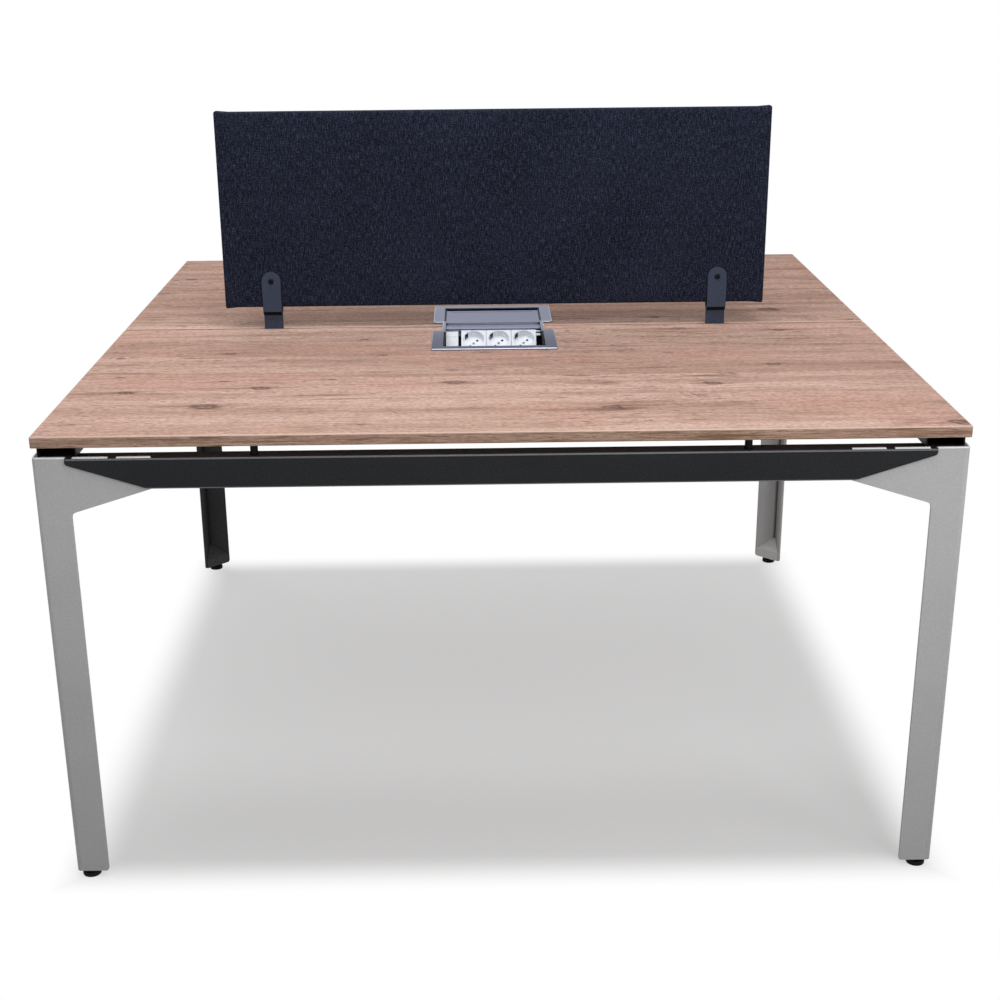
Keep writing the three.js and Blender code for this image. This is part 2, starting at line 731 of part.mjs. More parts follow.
// Beams and the spacer posts on them
ENDS.forEach(([end, sy]) => {
  add(`beam_${end}`, beam(), anthracite).rotateZ(sy < 0 ? 0 : Math.PI);
  SIDES.forEach(([side, sx]) => {
    const span = [BEAM_TOP + FIT, TOP_UNDERSIDE - FIT];
    const post = barAlongZ(POST_RADIUS, span, sx * POST_X, sy * (HALF_DEPTH - POST_SETBACK));
    add(`spacer_post_${end}_${side}`, post, black);
  });
});

// Rails, centre beam, hangers and split supports
add("centre_beam", centreBeam(), anthracite);
SIDES.forEach(([side, sx]) => {
  const turn = sx > 0 ? 0 : Math.PI;
  add(`side_rail_${side}`, sideRail(), black).rotateZ(turn);
  add(`centre_hanger_${side}`, centreHanger(), anthracite).rotateZ(turn);
  add(`split_support_${side}`, splitSupport(), anthracite).position.x = sx * SUPPORT_X;
});

// Screen with its straps, anchors and bolts
add("screen_cover", screenCover(), charcoalCloth);
add("screen_board", screenBoard(), chipboard);
const STRAP_GRIP = SCREEN_FACE + STRAP_SHEET + 2 * FIT;
const CLAMP_GRIP = 2 * STRAP_SHEET + 3 * FIT;
SIDES.forEach(([side, sx]) => {
  const screenBolt = throughBolt(SCREEN_BOLT_RADIUS, SCREEN_BOLT_HEAD, SCREEN_BOLT_HEAD_HEIGHT, STRAP_GRIP);
  add(`screen_bolt_${side}`, screenBolt, black).position.set(sx * STRAP_X, 0, SCREEN_BOLT_Z);
  const clampBolt = throughBolt(CLAMP_BOLT_RADIUS, CLAMP_BOLT_HEAD, CLAMP_BOLT_HEAD_HEIGHT, CLAMP_GRIP);
  add(`clamp_bolt_${side}`, clampBolt, zinc).position.set(sx * STRAP_X, 0, CLAMP_BOLT_Z);
  ENDS.forEach(([end, sy]) => {
    const place = new THREE.Group();
    place.position.x = sx * STRAP_X;
    place.rotation.z = sy < 0 ? 0 : Math.PI;
    desk.add(place);
    add(`screen_strap_${end}_${side}`, strap(), slate, place);
    add(`strap_anchor_${end}_${side}`, strapAnchor(), slate, place);
  });
});

// Power box with its lids, tracks and tray; the lids and the inlet keep their own places along Y
const powerBox = new THREE.Group();
powerBox.position.set(BOX_X, BOX_Y, 0);
desk.add(powerBox);
const boxMiddle = new THREE.Group();
boxMiddle.position.x = BOX_X;
desk.add(boxMiddle);
add("power_bezel", bezel(), satinAluminium, powerBox);
add("power_lid_front", lid(FRONT_LID_SPAN, FRONT_LID_Z, -1), satinAluminium, boxMiddle);
add("power_lid_rear", lid(REAR_LID_SPAN, REAR_LID_Z, 1), satinAluminium, boxMiddle);
SIDES.forEach(([side, sx]) => {
  add(`lid_track_${side}`, lidTrack(), black, powerBox).rotateZ(sx > 0 ? 0 : Math.PI);
});
add("power_tray", tray(), black, powerBox);
add("module_carrier", moduleCarrier(), black, boxMiddle);
add("mains_inlet", mainsInlet(), black, boxMiddle);

// Socket rows, one for each user
ENDS.forEach(([end, sy]) => {
  const user = new THREE.Group();
  user.rotation.z = sy < 0 ? 0 : Math.PI;
  boxMiddle.add(user);
  const row = new THREE.Group();
  row.position.set(0, FACE_CENTRE_Y, FACE_CENTRE_Z);
  row.rotation.x = FACE_TILT;
  user.add(row);
  for (let i = 0; i < SOCKET_COUNT; i += 1) {
    const x = FIRST_SOCKET_X + i * SOCKET_PITCH;
    add(`socket_${end}_${i + 1}`, socket(), whitePlastic, row).position.x = x;
  }
  const dataModule = moduleBlock(DATA_WIDTH, DATA_SUNK);
  add(`data_module_${end}`, dataModule, whitePlastic, row).position.x = DATA_X;
});

export default desk;
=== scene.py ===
# Benching desk for two: boards, paint, cloth and power box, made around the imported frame.
import json
import math
from typing import NamedTuple

import bmesh
import bpy
from bpy.props import FloatProperty, FloatVectorProperty, IntProperty, PointerProperty
from bpy.types import Operator, Panel, PropertyGroup
from mathutils import Matrix, Vector


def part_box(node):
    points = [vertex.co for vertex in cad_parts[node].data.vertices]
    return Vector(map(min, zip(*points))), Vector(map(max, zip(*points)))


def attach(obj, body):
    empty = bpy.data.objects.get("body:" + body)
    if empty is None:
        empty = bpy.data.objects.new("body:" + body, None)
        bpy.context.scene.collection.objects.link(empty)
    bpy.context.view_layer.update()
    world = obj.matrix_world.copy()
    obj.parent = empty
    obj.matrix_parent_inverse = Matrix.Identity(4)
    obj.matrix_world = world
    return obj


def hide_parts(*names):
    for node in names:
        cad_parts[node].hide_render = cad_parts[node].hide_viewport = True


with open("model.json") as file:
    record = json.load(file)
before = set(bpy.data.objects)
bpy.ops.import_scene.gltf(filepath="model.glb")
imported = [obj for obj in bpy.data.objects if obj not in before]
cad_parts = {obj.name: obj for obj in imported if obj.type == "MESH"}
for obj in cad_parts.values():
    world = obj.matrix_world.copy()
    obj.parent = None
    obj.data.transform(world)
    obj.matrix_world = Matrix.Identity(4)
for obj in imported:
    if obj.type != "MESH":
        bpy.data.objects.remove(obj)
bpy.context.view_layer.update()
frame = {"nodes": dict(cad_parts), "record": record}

bl_info = {
    "name": "Benching Desk for Two",
    "version": (1, 0, 0),
    "blender": (4, 5, 0),
    "location": "View3D > Sidebar > Desk",
    "description": "Dresses the frame of a benching desk with its boards, paint, cloth and power box",
    "category": "Object",
}

NODES = frame["nodes"]
SLOT_OF = {part["node"]: part["material_slot"] for part in frame["record"]["subparts"]}

MM = 0.001
FULL_TURN = 2 * math.pi
ENDS = ("front", "rear")
SIDES = ("left", "right")
CORNERS = [f"{end}_{side}" for end in ENDS for side in SIDES]

# Welding of loose triangles, and the angles that tell flat, rolled and sharp edges apart
WELD = 0.005 * MM
FLAT_ANGLE = math.radians(1)
CREASE_ANGLE = math.radians(32)
FACET_WIDTH = 8 * MM
TURN_STEPS = 32
PIN_STEPS = 20

# Shares of a direction that lie along an axis: nearly all of it, most, some and hardly any
STRAIGHT = 0.99
MOSTLY = 0.9
LEANING = 0.3
ACROSS = 0.1

# Wide and middle ranges of a noise's values, and their middle
WIDE = (0.2, 0.8)
MIDDLE = (0.3, 0.7)
HALFWAY = 0.5


class Streaks(NamedTuple):
    """Noise along a grain or thread: size of its features, where they begin and are full, and their make."""

    long: float
    wide: float
    seed: float
    begins: float = 0.0
    full: float = 1.0
    share: float = 1.0
    detail: float = 3.0
    roughness: float = 0.55


# Features of the oak, with their length along the grain, width across it and seed
OAK_SWAY = Streaks(0.6, 0.2, 3)
OAK_BAND = Streaks(1.1, 0.05, 5, begins=0.37, full=0.63, share=0.7, detail=5, roughness=0.6)
OAK_STREAK = Streaks(0.2, 0.018, 7, begins=0.5, full=0.74, share=0.85, detail=4, roughness=0.6)
OAK_GRAIN = Streaks(0.06, 0.007, 9, begins=0.44, full=0.7, share=0.34, detail=4, roughness=0.65)
OAK_FIBRE = Streaks(0.02, 0.0011, 11, begins=0.4, full=0.75, share=0.25)
OAK_DASH = Streaks(0.024, 0.004, 13, begins=0.62, full=0.7, share=0.8, detail=2)
OAK_PATCH = Streaks(0.42, 0.16, 15, begins=0.48, full=0.66, share=0.6, detail=2)
OAK_CLOUD = Streaks(0.2, 0.045, 17, begins=0.58, full=0.76, share=0.35)
OAK_SMEAR = Streaks(0.24, 0.032, 19, begins=0.53, full=0.72, share=0.75, detail=4, roughness=0.65)
OAK_CALM = Streaks(0.4, 0.2, 21)
OAK_PORE = Streaks(0.009, 0.0036, 23, begins=0.38, full=0.64, share=0.38)
OAK_CHECK = Streaks(0.08, 0.007, 25, begins=0.56, full=0.64, share=0.6)
OAK_CHECKED = Streaks(0.14, 0.09, 26, begins=0.6, full=0.72)

# Noise ranges that make the oak lively in places, its streaks stronger in bands and its smears feathered
LIVELY = (0.38, 0.62, 0.3, 1.3)
IN_BAND = (0.3, 0.62, 0.3, 0.7)
FEATHERED = (0.3, 0.6, 0.35, 1.0)

# Bow of the oak's grain, slant of its checks and grey round them, and its roughness and relief
OAK_BOW = 0.035
CHECK_SLANT = math.radians(-58)
CHECK_GREY = 0.3
OAK_ROUGHNESS = 0.5
FIBRE_ROUGHNESS = 0.16
FIBRE_RELIEF = 0.6

# Knots of the oak: spacing and half size along and across the grain, scatter and chance
KNOT_CELL = (0.19, 0.135)
KNOT_HALF = (0.016, 0.01)
KNOT_SCATTER = 0.95
KNOT_CHANCE = 0.5

# Least and added growth and strength of a knot
KNOT_GROWTH = (0.36, 0.9)
KNOT_STRENGTH = (0.4, 0.7)

# Grain round a knot: how fast its flow fades, how far it is pushed, and fade and share of the dark tails
FLOW_FADE = 1 / 8
FLOW_PUSH = 0.4
TAIL_FADE = (1 / 20, 1.2)
TAIL_GRAIN = (0.35, 0.62)
TAIL_SHARE = 0.7

# Rings of a knot, in its half sizes: raggedness from grain and wobble, then grey, dark rim and dark heart
KNOT_RAGGED = (1.2, 1.6)
WOBBLE_SCALE = 0.9
WOBBLE_SEED = 9
KNOT_GREY = (0.7, 1.3, 0.6, 0.0)
KNOT_RIM = (0.05, 0.45, 0.65, 0.0)
KNOT_HEART = (0.1, 0.55, 0.75, 0.0)
RIM_RADIUS = 0.85

# Staves of the oak: width, place of one joint, and shift of the grain and change of tone between them
STAVE_WIDTH = 0.4 / 3
STAVE_JOINT = -0.641
STAVE_SHIFT = 2.7
STAVE_TONE = 0.35

# Joints between staves: half width, patches where they fade, and shares of their dark and pale lines
JOINT_HALF = 0.0025
JOINT_PATCHES = 2.2
JOINT_SEED = 40
JOINT_FADE = (0.4, 0.6)
DARK_JOINT = 0.3
PALE_JOINT = 0.4

# Worktop's edge band: how much smaller its grain is along and across it, and casts of band and of the rim's
# painted highlight
BAND_SCALE = (1.2, 3.2)
BAND_CAST = 0.18
RIM_HIGHLIGHT_CAST = 0.5

# Screen's cloth: its map, pitch of its weave, slubs along and across the threads, and flecks
CLOTH_MAP = "cloth"
CLOTH_PITCH = 1.3 * MM
WARP_SLUB = Streaks(0.013, 0.0015, 1, begins=0.46, full=0.7, share=0.5, roughness=0.6)
WEFT_SLUB = Streaks(0.009, 0.0017, 5, begins=0.5, full=0.72, share=0.32)
CLOTH_FLECK = Streaks(0.0024, 0.0019, 9, begins=0.48, full=0.7, share=0.45, detail=2)
CLOTH_DRIFT = Streaks(0.16, 0.16, 2, *MIDDLE, share=0.06)

# Screen's cloth: roughness and its swing, relief of weave and slubs, and cuts in its mesh along X and Z
CLOTH_ROUGHNESS = 0.91
CLOTH_SWING = 0.06
WEAVE_RELIEF = 0.5
SLUB_RELIEF = 0.8
CLOTH_CUTS = {0: 40, 2: 14}

# Paint: range of its grain, the grain's share of its shades and the swing of its roughness
PAINT_GRAIN = (0.36, 0.64)
GRAIN_SHARE = 0.75
PAINT_SWING = 0.07

# Brushed metal: strokes in a metre along each axis, their share of its shades, and tint of its gloss
STROKES = (40, 1500, 1500)
STROKE_SHARE = 0.6
METAL_SHADES = (0.9, 1.08)
GLOSS_TINT = 0.38

# Moulded plastic: its darker shade and the swing of its roughness
PLASTIC_SHADE = 0.94
PLASTIC_SWING = 0.05

# Chipboard: chips in a metre, and least and added roughness
CHIPS = 260
CHIP_ROUGHNESS = (0.75, 0.15)

# Leg: its outside, its sheet and the sheet's play, and depths that take in its skin and its wide plate
LEG_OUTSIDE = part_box("leg_rear_right")[1]
LEG_SHEET = 5 * MM
SHEET_PLAY = 0.1 * MM
SKIN_DEPTH = 0.5 * LEG_SHEET
PLATE_DEPTH = 1.2 * LEG_SHEET

# Painted shade in a leg's fold: where it begins and is full before the side plate, its share and its colour
FOLD_BEGINS = 9 * MM
FOLD_FULL = 1.8 * MM
FOLD_SHARE = 0.85
FOLD_DARK = (0.01, 0.01, 0.01)

# Share of painted shade low on the outside of the legs' wide plates, full at the floor, and the height at
# which it ends
PAINTED_LOW_SHADE = 0.24
PAINTED_LOW_SHADE_HEIGHT = 0.68

# Finishes of a worktop's faces
BOARD_FINISHES = ("oak_board", "oak_rim", "oak_edge", "black_plastic")

# Levelling foot: rounding, slope and shoulder of its pad, chamfer and share of its collar
PAD_ROUND = 2 * MM
PAD_SLOPE = 3 * MM
SHOULDER_INSET = 0.8 * MM
SHOULDER_DROP = 1.6 * MM
COLLAR_CHAMFER = 0.6 * MM
COLLAR_SHARE = 1.7

# Thread of a stud: share of its radius at the root, places of root and crest in a pitch, and the tip
THREAD_ROOT = 0.86
ROOT_PLACE = 0.25
CREST_PLACE = 0.75
STUD_TIP = 0.8
TIP_CHAMFER = 0.3

# Spacer post: height of its collars, slope beside them and share of its radius at the waist
POST_COLLAR = 2 * MM
POST_SLOPE = 0.6 * MM
POST_WAIST = 0.86

# Button bolt: shares of its radius at recess, crown and neck, and drop of the crown
BOLT_RECESS = 0.5
BOLT_CROWN = 0.72
BOLT_NECK = 0.68
CROWN_DROP = 0.1 * MM

# Dome of a bolt's head below its crown, in shares of the head's radius and height
BOLT_DOME = ((0.93, 0.45), (1, 0.8), (1, 1))

# Shares of the bezel's half size past which an edge is on its outline, and place of the lip in its lid
BEZEL_OUTLINE = (0.83, 0.92)
LIP_PLACE = 0.7

# Rise and run of the modules' sloping faces
FACE_RISE = 25 * MM
FACE_RUN = 37 * MM

# Socket's fittings: pin sleeve, pin hole, screw, and earth clip and its slot with places from the well's wall
FITTING_SUNK = 0.5 * MM
SLEEVE_BORE = 2.5 * MM
SLEEVE_RADIUS = 4 * MM
SLEEVE_TOP = 0.9 * MM
SLEEVE_CHAMFER = 0.4 * MM
# pin hole and clip slot are black plugs: painted shade in the holes
PIN_HOLE = 2.4 * MM
PIN_HOLE_TOP = 0.3 * MM
SCREW_RADIUS = 2.5 * MM
SCREW_HEIGHTS = (0.2 * MM, 1 * MM)
CLIP_SIZE = Vector((0.8, 1.8, 8)) * MM
CLIP_PLACE = Vector((-1.6, 2.4, 5)) * MM
CLIP_ROUND = 0.3 * MM
SLOT_SIZE = Vector((0.5, 8, 11.5)) * MM
SLOT_PLACE = Vector((-0.45, 0, 6.2)) * MM
SLOT_ROUND = 0.2 * MM

# Data module's marks: seam and latch dots, with places as shares of the face's width and height
SEAM_WIDTH = 0.94
SEAM_PLACE = 0.16
SEAM_SHEET = (0.5 * MM, 0.4 * MM)
SEAM_ROUND = 0.1 * MM
DOT_PLACE = (0.34, -0.37)
DOT_RADIUS = 0.8 * MM
DOT_HALF = 0.2 * MM

# Rail that the modules clip to: size of its bars, and their places from a module's upper corner or edge
STUB_SIZE = Vector((11, 2.8, 1.6)) * MM
STUB_PLACE = Vector((5.6, -3.6, -1.2)) * MM
RAIL_CLIP_SIZE = Vector((8.4, 5.2, 2)) * MM
RAIL_CLIP_PLACE = Vector((4.4, -12.3, -1.5)) * MM
CROSS_SIZE = Vector((30, 2.4, 1.6)) * MM
CROSS_PLACE = Vector((1, 1.7, -0.9)) * MM
RAIL_ROUND = 0.3 * MM

# Reach of the studio floor
FLOOR_REACH = 9

# Place, aim and size of each lamp
LAMPS = {
    "overhead": ((-0.15, -0.8, 2.7), (-0.1, -0.5, 0), (2.0, 1.0)),
    "key": ((0.82, -2.72, 2.69), (0, 0, 0.8), (1.2, 1.2)),
    "side": ((2.4, -2.2, 0.9), (0.3, -0.7, 0.5), (1.0, 1.0)),
    "rear": ((-0.9, 1.6, 2.6), (-0.1, 0.1, 0.75), (1.4, 1.4)),
}


def srgb(red, green, blue):
    """Linear colour of an 8-bit display colour."""

    def linear(level):
        share = level / 255
        return share / 12.92 if share <= 0.04045 else ((share + 0.055) / 1.055) ** 2.4

    return tuple(linear(level) for level in (red, green, blue))


def colour(name, description, default):
    """Colour property."""
    return FloatVectorProperty(
        name=name, description=description, default=default, subtype="COLOR", size=3, min=0, max=1
    )


def length(name, description, default):
    """Length property, in metres."""
    return FloatProperty(name=name, description=description, default=default, unit="LENGTH", precision=4)


def angle(name, description, default):
    """Angle property."""
    return FloatProperty(name=name, description=description, default=default, subtype="ANGLE")


def power(name, description, default):
    """Power property of a lamp, in watts."""
    return FloatProperty(name=name, description=description, default=default, subtype="POWER")


class DeskColours(PropertyGroup):
    """Colours of the desk's finishes."""

    oak_pale: colour("Oak, pale", "Pale bands of the oak grain", srgb(231, 198, 184))
    oak_tan: colour("Oak, tan", "Tan bands of the oak grain", srgb(197, 163, 148))
    oak_brown: colour("Oak, brown", "Dark streaks of the oak grain", srgb(128, 94, 76))
    oak_knot: colour("Oak, knot", "Rims of the knots and short dark dashes", srgb(84, 63, 56))
    oak_pink: colour("Oak, pink", "Rosy patches of the oak", srgb(218, 174, 160))
    oak_grey: colour("Oak, grey", "Greyish patches and hearts of the knots", srgb(160, 134, 130))
    # paler oak: a painted highlight on the boards' rounded rims, and the pale lines beside stave joints
    oak_joint_and_highlight: colour("Oak, worn", "Rubbed rims of the boards", srgb(232, 205, 192))
    oak_band: colour("Oak, band", "Cast of the boards' edge bands", srgb(170, 148, 112))
    # paler paint on the legs' rounded upper rims: a painted highlight
    rim: colour("Rim", "Upper rims of the light legs", srgb(250, 250, 250))
    light_grey: colour("Light grey", "Paint of the light legs", srgb(190, 190, 190))
    dark_grey: colour("Dark grey", "Paint of the dark leg", srgb(60, 60, 61))
    # gussets painted paler than their legs: painted light, as their tops catch light from above
    light_gusset: colour("Light gusset", "Paint of the light legs' foot gussets", srgb(224, 224, 224))
    dark_gusset: colour("Dark gusset", "Paint of the dark leg's foot gusset", srgb(76, 76, 77))
    anthracite: colour("Anthracite", "Paint of the beams", srgb(34, 35, 38))
    # paler paint on the beams' outer bends and the dark leg's rim: a painted highlight, not polish
    bend: colour("Bend", "Polished bends of the beams", srgb(92, 93, 96))
    black: colour("Black", "Paint and plastic under the boards", srgb(22, 22, 23))
    slate: colour("Slate", "Paint of the screen straps", srgb(58, 66, 85))
    cloth_dark: colour("Cloth, dark", "Ground of the screen's cloth", srgb(11, 13, 23))
    cloth_light: colour("Cloth, light", "Slubs of the screen's cloth", srgb(72, 79, 104))
    aluminium: colour("Aluminium", "Satin plates of the power box", srgb(144, 148, 168))
    # paler aluminium on the power box's rounded outline and the upper lid's lip: a painted highlight
    polished: colour("Polished edge", "Cut edge of the power box's rim", srgb(196, 198, 212))
    zinc: colour("Zinc", "Plated bolts and clips", srgb(176, 174, 166))
    # brass darkened: painted shade on the clips deep in the wells
    brass: colour("Brass", "Earth clips in the sockets", srgb(128, 104, 70))
    white: colour("White", "Sockets and data modules", srgb(244, 247, 255))
    chip_pale: colour("Chip, pale", "Pale chips of the screen's board", srgb(190, 164, 126))
    chip_dark: colour("Chip, dark", "Dark chips of the screen's board", srgb(128, 100, 66))
    floor: colour("Floor", "Studio floor", srgb(214, 214, 214))


class DeskSizes(PropertyGroup):
    """Sizes of the rounded edges and fine details."""

    board_round: length("Board edge", "Rounding of the worktops' edges", 1.8 * MM)
    steel_round: length("Steel edge", "Rounding of cut steel plate", 0.7 * MM)
    bend_round: length("Bend", "Outer radius of the beams' bends", 2.3 * MM)
    bezel_round: length("Bezel edge", "Rounding of the power box's rim", 1.3 * MM)
    heel_round: length("Leg heel", "Rounding of the legs' lower corners", 5 * MM)
    rim_round: length("Leg rim", "Rounding of the legs' upper rims", 2.2 * MM)
    thin_round: length("Thin edge", "Rounding of thin metal and plastic", 0.4 * MM)
    cloth_round: length("Cloth edge", "Rounding of the screen's edges", 4 * MM)
    cloth_thickness: length("Cloth", "Thickness of the screen's cloth", 1.2 * MM)
    cloth_ear: length("Cloth ear", "How far the sewn corners stand up", 2.6 * MM)
    ear_reach: length("Ear reach", "How far a sewn corner's swelling runs", 12 * MM)
    hem_gap: length("Hem gap", "Gap between the hems under the screen", 5 * MM)
    pad_height: length("Foot pad", "Height of a levelling foot's pad", 9 * MM)
    stud_radius: length("Stud", "Radius of a levelling foot's stud", 4 * MM)
    thread_pitch: length("Thread", "Pitch of the studs' thread", 1.5 * MM)
    bolt_head: length("Bolt head", "Height of a button bolt's head", 2.4 * MM)
    bolt_recess: length("Bolt recess", "Depth of the key recess in a button bolt", 1.9 * MM)
    lid_play: length("Lid play", "Gap between the lids on their two levels", 0.3 * MM)
    lip_inset: length("Lip inset", "How far the upper lid's lip stays from its sides", 6 * MM)
    lip_sheet: length("Lip", "Thickness of the upper lid's lip", 1.4 * MM)
    module_height: length("Module", "Height of a socket's face along its slope", 44.65 * MM)
    well_radius: length("Well radius", "Radius of a socket's well", 19.5 * MM)
    well_depth: length("Well depth", "Depth of a socket's well", 14 * MM)
    pin_spread: length("Pins", "Distance of a socket's pin holes from its middle", 9.5 * MM)
    face_tilt: angle(
        "Face tilt", "Lean of the socket faces towards their user", math.atan2(FACE_RISE, FACE_RUN)
    )
    socket_turn: angle("Socket turn", "Angle of the pin holes in a socket's face", math.radians(45))
    edge_steps: IntProperty(name="Edge steps", description="Steps in a rounded edge", default=2, min=1)
    bend_steps: IntProperty(name="Bend steps", description="Steps in a bend", default=4, min=1)


class DeskStage(PropertyGroup):
    """Camera and light."""

    eye: FloatVectorProperty(
        name="Eye",
        description="Place of the camera",
        default=(-0.03921, -2.96971, 1.42903),
        subtype="TRANSLATION",
        unit="LENGTH",
    )
    pitch: angle("Pitch", "Camera's tilt", math.radians(-20.2295))
    roll: angle("Roll", "Camera's roll", math.radians(0.5871))
    yaw: angle("Yaw", "Camera's turn", math.radians(-0.3513))
    focal_pixels: FloatProperty(
        name="Focal length", description="Focal length in pixels of the image", default=1592.97
    )
    centre_pixels: FloatVectorProperty(
        name="Centre", description="Pixel that the camera's axis meets", default=(485.66, 533.65), size=2
    )
    image_pixels: IntProperty(name="Image", description="Width and height of the image", default=1000)
    sky: FloatProperty(name="Sky", description="Strength of the light from all round", default=0.33)
    overhead: power("Overhead", "Power of the wide lamp above", 28)
    key: power("Key", "Power of the lamp in front", 22)
    side: power("Side", "Power of the low lamp on the right", 11)
    rear: power("Rear", "Power of the lamp behind the desk", 13)
    # painted light on the floor: its glow's share in the shadow, where that share grows, and the rectangle
    # outside which it glows white
    shade_glow: FloatVectorProperty(
        name="Shade",
        description="Share of white in the shadow, front and rear",
        default=(0.27, 0.488),
        size=2,
    )
    shade_span: FloatVectorProperty(
        name="Shade span",
        description="Where the shadow begins and ends to grow paler",
        default=(-0.85, -0.2),
        size=2,
    )
    shade_half: FloatVectorProperty(
        name="Shade size", description="Half size of the floor's shadow", default=(0.69, 0.7), size=2
    )
    shade_soft: length("Shade edge", "Half width of the shadow's soft edge", 0.06)


class Wire:
    """A node's output socket that takes part in Python arithmetic."""

    def __init__(self, finish, socket):
        self.finish = finish
        self.socket = socket

    def out(self, name):
        """Another output of the same node."""
        return Wire(self.finish, self.socket.node.outputs[name])

    def maths(self, operation, *others):
        return self.finish.maths(operation, self, *others)

    def __add__(self, other):
        return self.maths("ADD", other)

    def __sub__(self, other):
        return self.maths("SUBTRACT", other)

    def __rsub__(self, other):
        return self.finish.maths("SUBTRACT", other, self)

    def __mul__(self, other):
        return self.maths("MULTIPLY", other)

    def __gt__(self, other):
        return self.maths("GREATER_THAN", other)

    def __abs__(self):
        return self.maths("ABSOLUTE")

    __radd__ = __add__
    __rmul__ = __mul__


class Finish:
    """A procedural material or world, built node by node."""

    def __init__(self, tree, output):
        self.tree = tree
        self.tree.nodes.clear()
        self.output = self.tree.nodes.new(output)

    def node(self, kind, settings=None, sockets=None, output=0):
        """Adds a node: its settings first, then the values or wires of its sockets."""
        made = self.tree.nodes.new(kind)
        for key, value in (settings or {}).items():
            setattr(made, key, value)
        for key, value in (sockets or {}).items():
            if isinstance(value, Wire):
                self.tree.links.new(value.socket, made.inputs[key])
            else:
                made.inputs[key].default_value = value
        return Wire(self, made.outputs[output])

    def maths(self, operation, *values):
        return self.node("ShaderNodeMath", {"operation": operation}, dict(enumerate(values)))

    def place(self):
        """Object coordinates."""
        return self.node("ShaderNodeTexCoord", output="Object")

    def axes(self, vector):
        """X, Y and Z of a vector."""
        split = self.node("ShaderNodeSeparateXYZ", sockets={0: vector})
        return [split.out(axis) for axis in "XYZ"]

    def vector(self, x, y, z=0.0):
        return self.node("ShaderNodeCombineXYZ", sockets={0: x, 1: y, 2: z})

    def noise(self, vector, scale=1.0, detail=2.0, roughness=0.5):
        sockets = {"Vector": vector, "Scale": scale, "Detail": detail, "Roughness": roughness}
        return self.node("ShaderNodeTexNoise", sockets=sockets)

    def streaks(self, along, across, kind, seed=0.0):
        """Noise whose features have a kind's length and width, in metres."""
        place = self.vector(along * (1 / kind.long), across * (1 / kind.wide), seed + kind.seed)
        return self.noise(place, 1.0, kind.detail, kind.roughness)

    def shown(self, noise, kind):
        """How strongly a kind of streaks shows."""
        return self.spread(noise, kind.begins, kind.full) * kind.share

    def swung(self, noise, span, middle, swing):
        """A value that swings about its middle over a span of a noise."""
        return self.spread(noise, *span, middle - swing, middle + swing)

    def spread(self, value, low, high, to_low=0.0, to_high=1.0):
        """Smooth step of a value from one range to another."""
        sockets = {"Value": value, 1: low, 2: high, 3: to_low, 4: to_high}
        return self.node("ShaderNodeMapRange", {"interpolation_type": "SMOOTHSTEP"}, sockets)

    def blend(self, factor, first, second):
        """Colour from first to second."""
        tints = [tint if isinstance(tint, Wire) else (*tint, 1) for tint in (first, second)]
        sockets = {0: factor, 6: tints[0], 7: tints[1]}
        return self.node("ShaderNodeMix", {"data_type": "RGBA"}, sockets, output=2)

    def bump(self, height, strength, distance):
        sockets = {"Height": height, "Strength": strength, "Distance": distance}
        return self.node("ShaderNodeBump", sockets=sockets)

    def close(self, shader):
        self.tree.links.new(shader.socket, self.output.inputs["Surface"])

    def surface(self, sockets):
        self.close(self.node("ShaderNodeBsdfPrincipled", sockets=sockets))


def new_material(name):
    """An empty material and its builder."""
    material = bpy.data.materials.new(name)
    material.use_nodes = True
    return material, Finish(material.node_tree, "ShaderNodeOutputMaterial")


def knots(finish, along, across, seed):
    """Offsets from the nearest knot, in half sizes of that knot, and its strength."""
    spots = [way * (1 / cell) + seed for way, cell in zip((along, across), KNOT_CELL)]
    sockets = {"Vector": finish.vector(*spots), "Scale": 1.0, "Randomness": KNOT_SCATTER}
    nearest = finish.node("ShaderNodeTexVoronoi", {"voronoi_dimensions": "2D"}, sockets)
    hearts = finish.axes(nearest.out("Position"))
    chance, size, strength = finish.axes(nearest.out("Color"))
    growth = size * size * KNOT_GROWTH[1] + KNOT_GROWTH[0]
    offsets = [
        ((spot - heart) * (cell / half)).maths("DIVIDE", growth)
        for spot, heart, cell, half in zip(spots, hearts, KNOT_CELL, KNOT_HALF)
    ]
    return *offsets, (chance > KNOT_CHANCE) * (strength * KNOT_STRENGTH[1] + KNOT_STRENGTH[0])


def staves(finish, along, across):
    """Place along the grain, shifted in each stave, the stave's chance and the place across it."""
    place = (across - STAVE_JOINT) * (1 / STAVE_WIDTH)
    index = place.maths("FLOOR")
    chance = finish.node("ShaderNodeTexWhiteNoise", {"noise_dimensions": "1D"}, {"W": index})
    return along + chance * STAVE_SHIFT, chance, place - index


def checks(finish, along, across, seed):
    """Fine dark checks that run aslant across the grain, and the few places where they are."""
    lean, rise = math.cos(CHECK_SLANT), math.sin(CHECK_SLANT)
    lines = finish.streaks(along * lean + across * rise, across * lean - along * rise, OAK_CHECK, seed)
    where = finish.shown(finish.streaks(along, across, OAK_CHECKED, seed), OAK_CHECKED)
    return finish.shown(lines, OAK_CHECK) * where, where


def joints(finish, along, chance, across):
    """Dark and pale lines on the two sides of a joint between staves, faint in places."""
    half = JOINT_HALF / STAVE_WIDTH
    patches = finish.noise(finish.vector(along * JOINT_PATCHES, chance * JOINT_SEED))
    faint = finish.spread(patches, *JOINT_FADE)
    return finish.spread(across, 1 - half, 1) * faint, finish.spread(across, 0, half, 1, 0) * faint


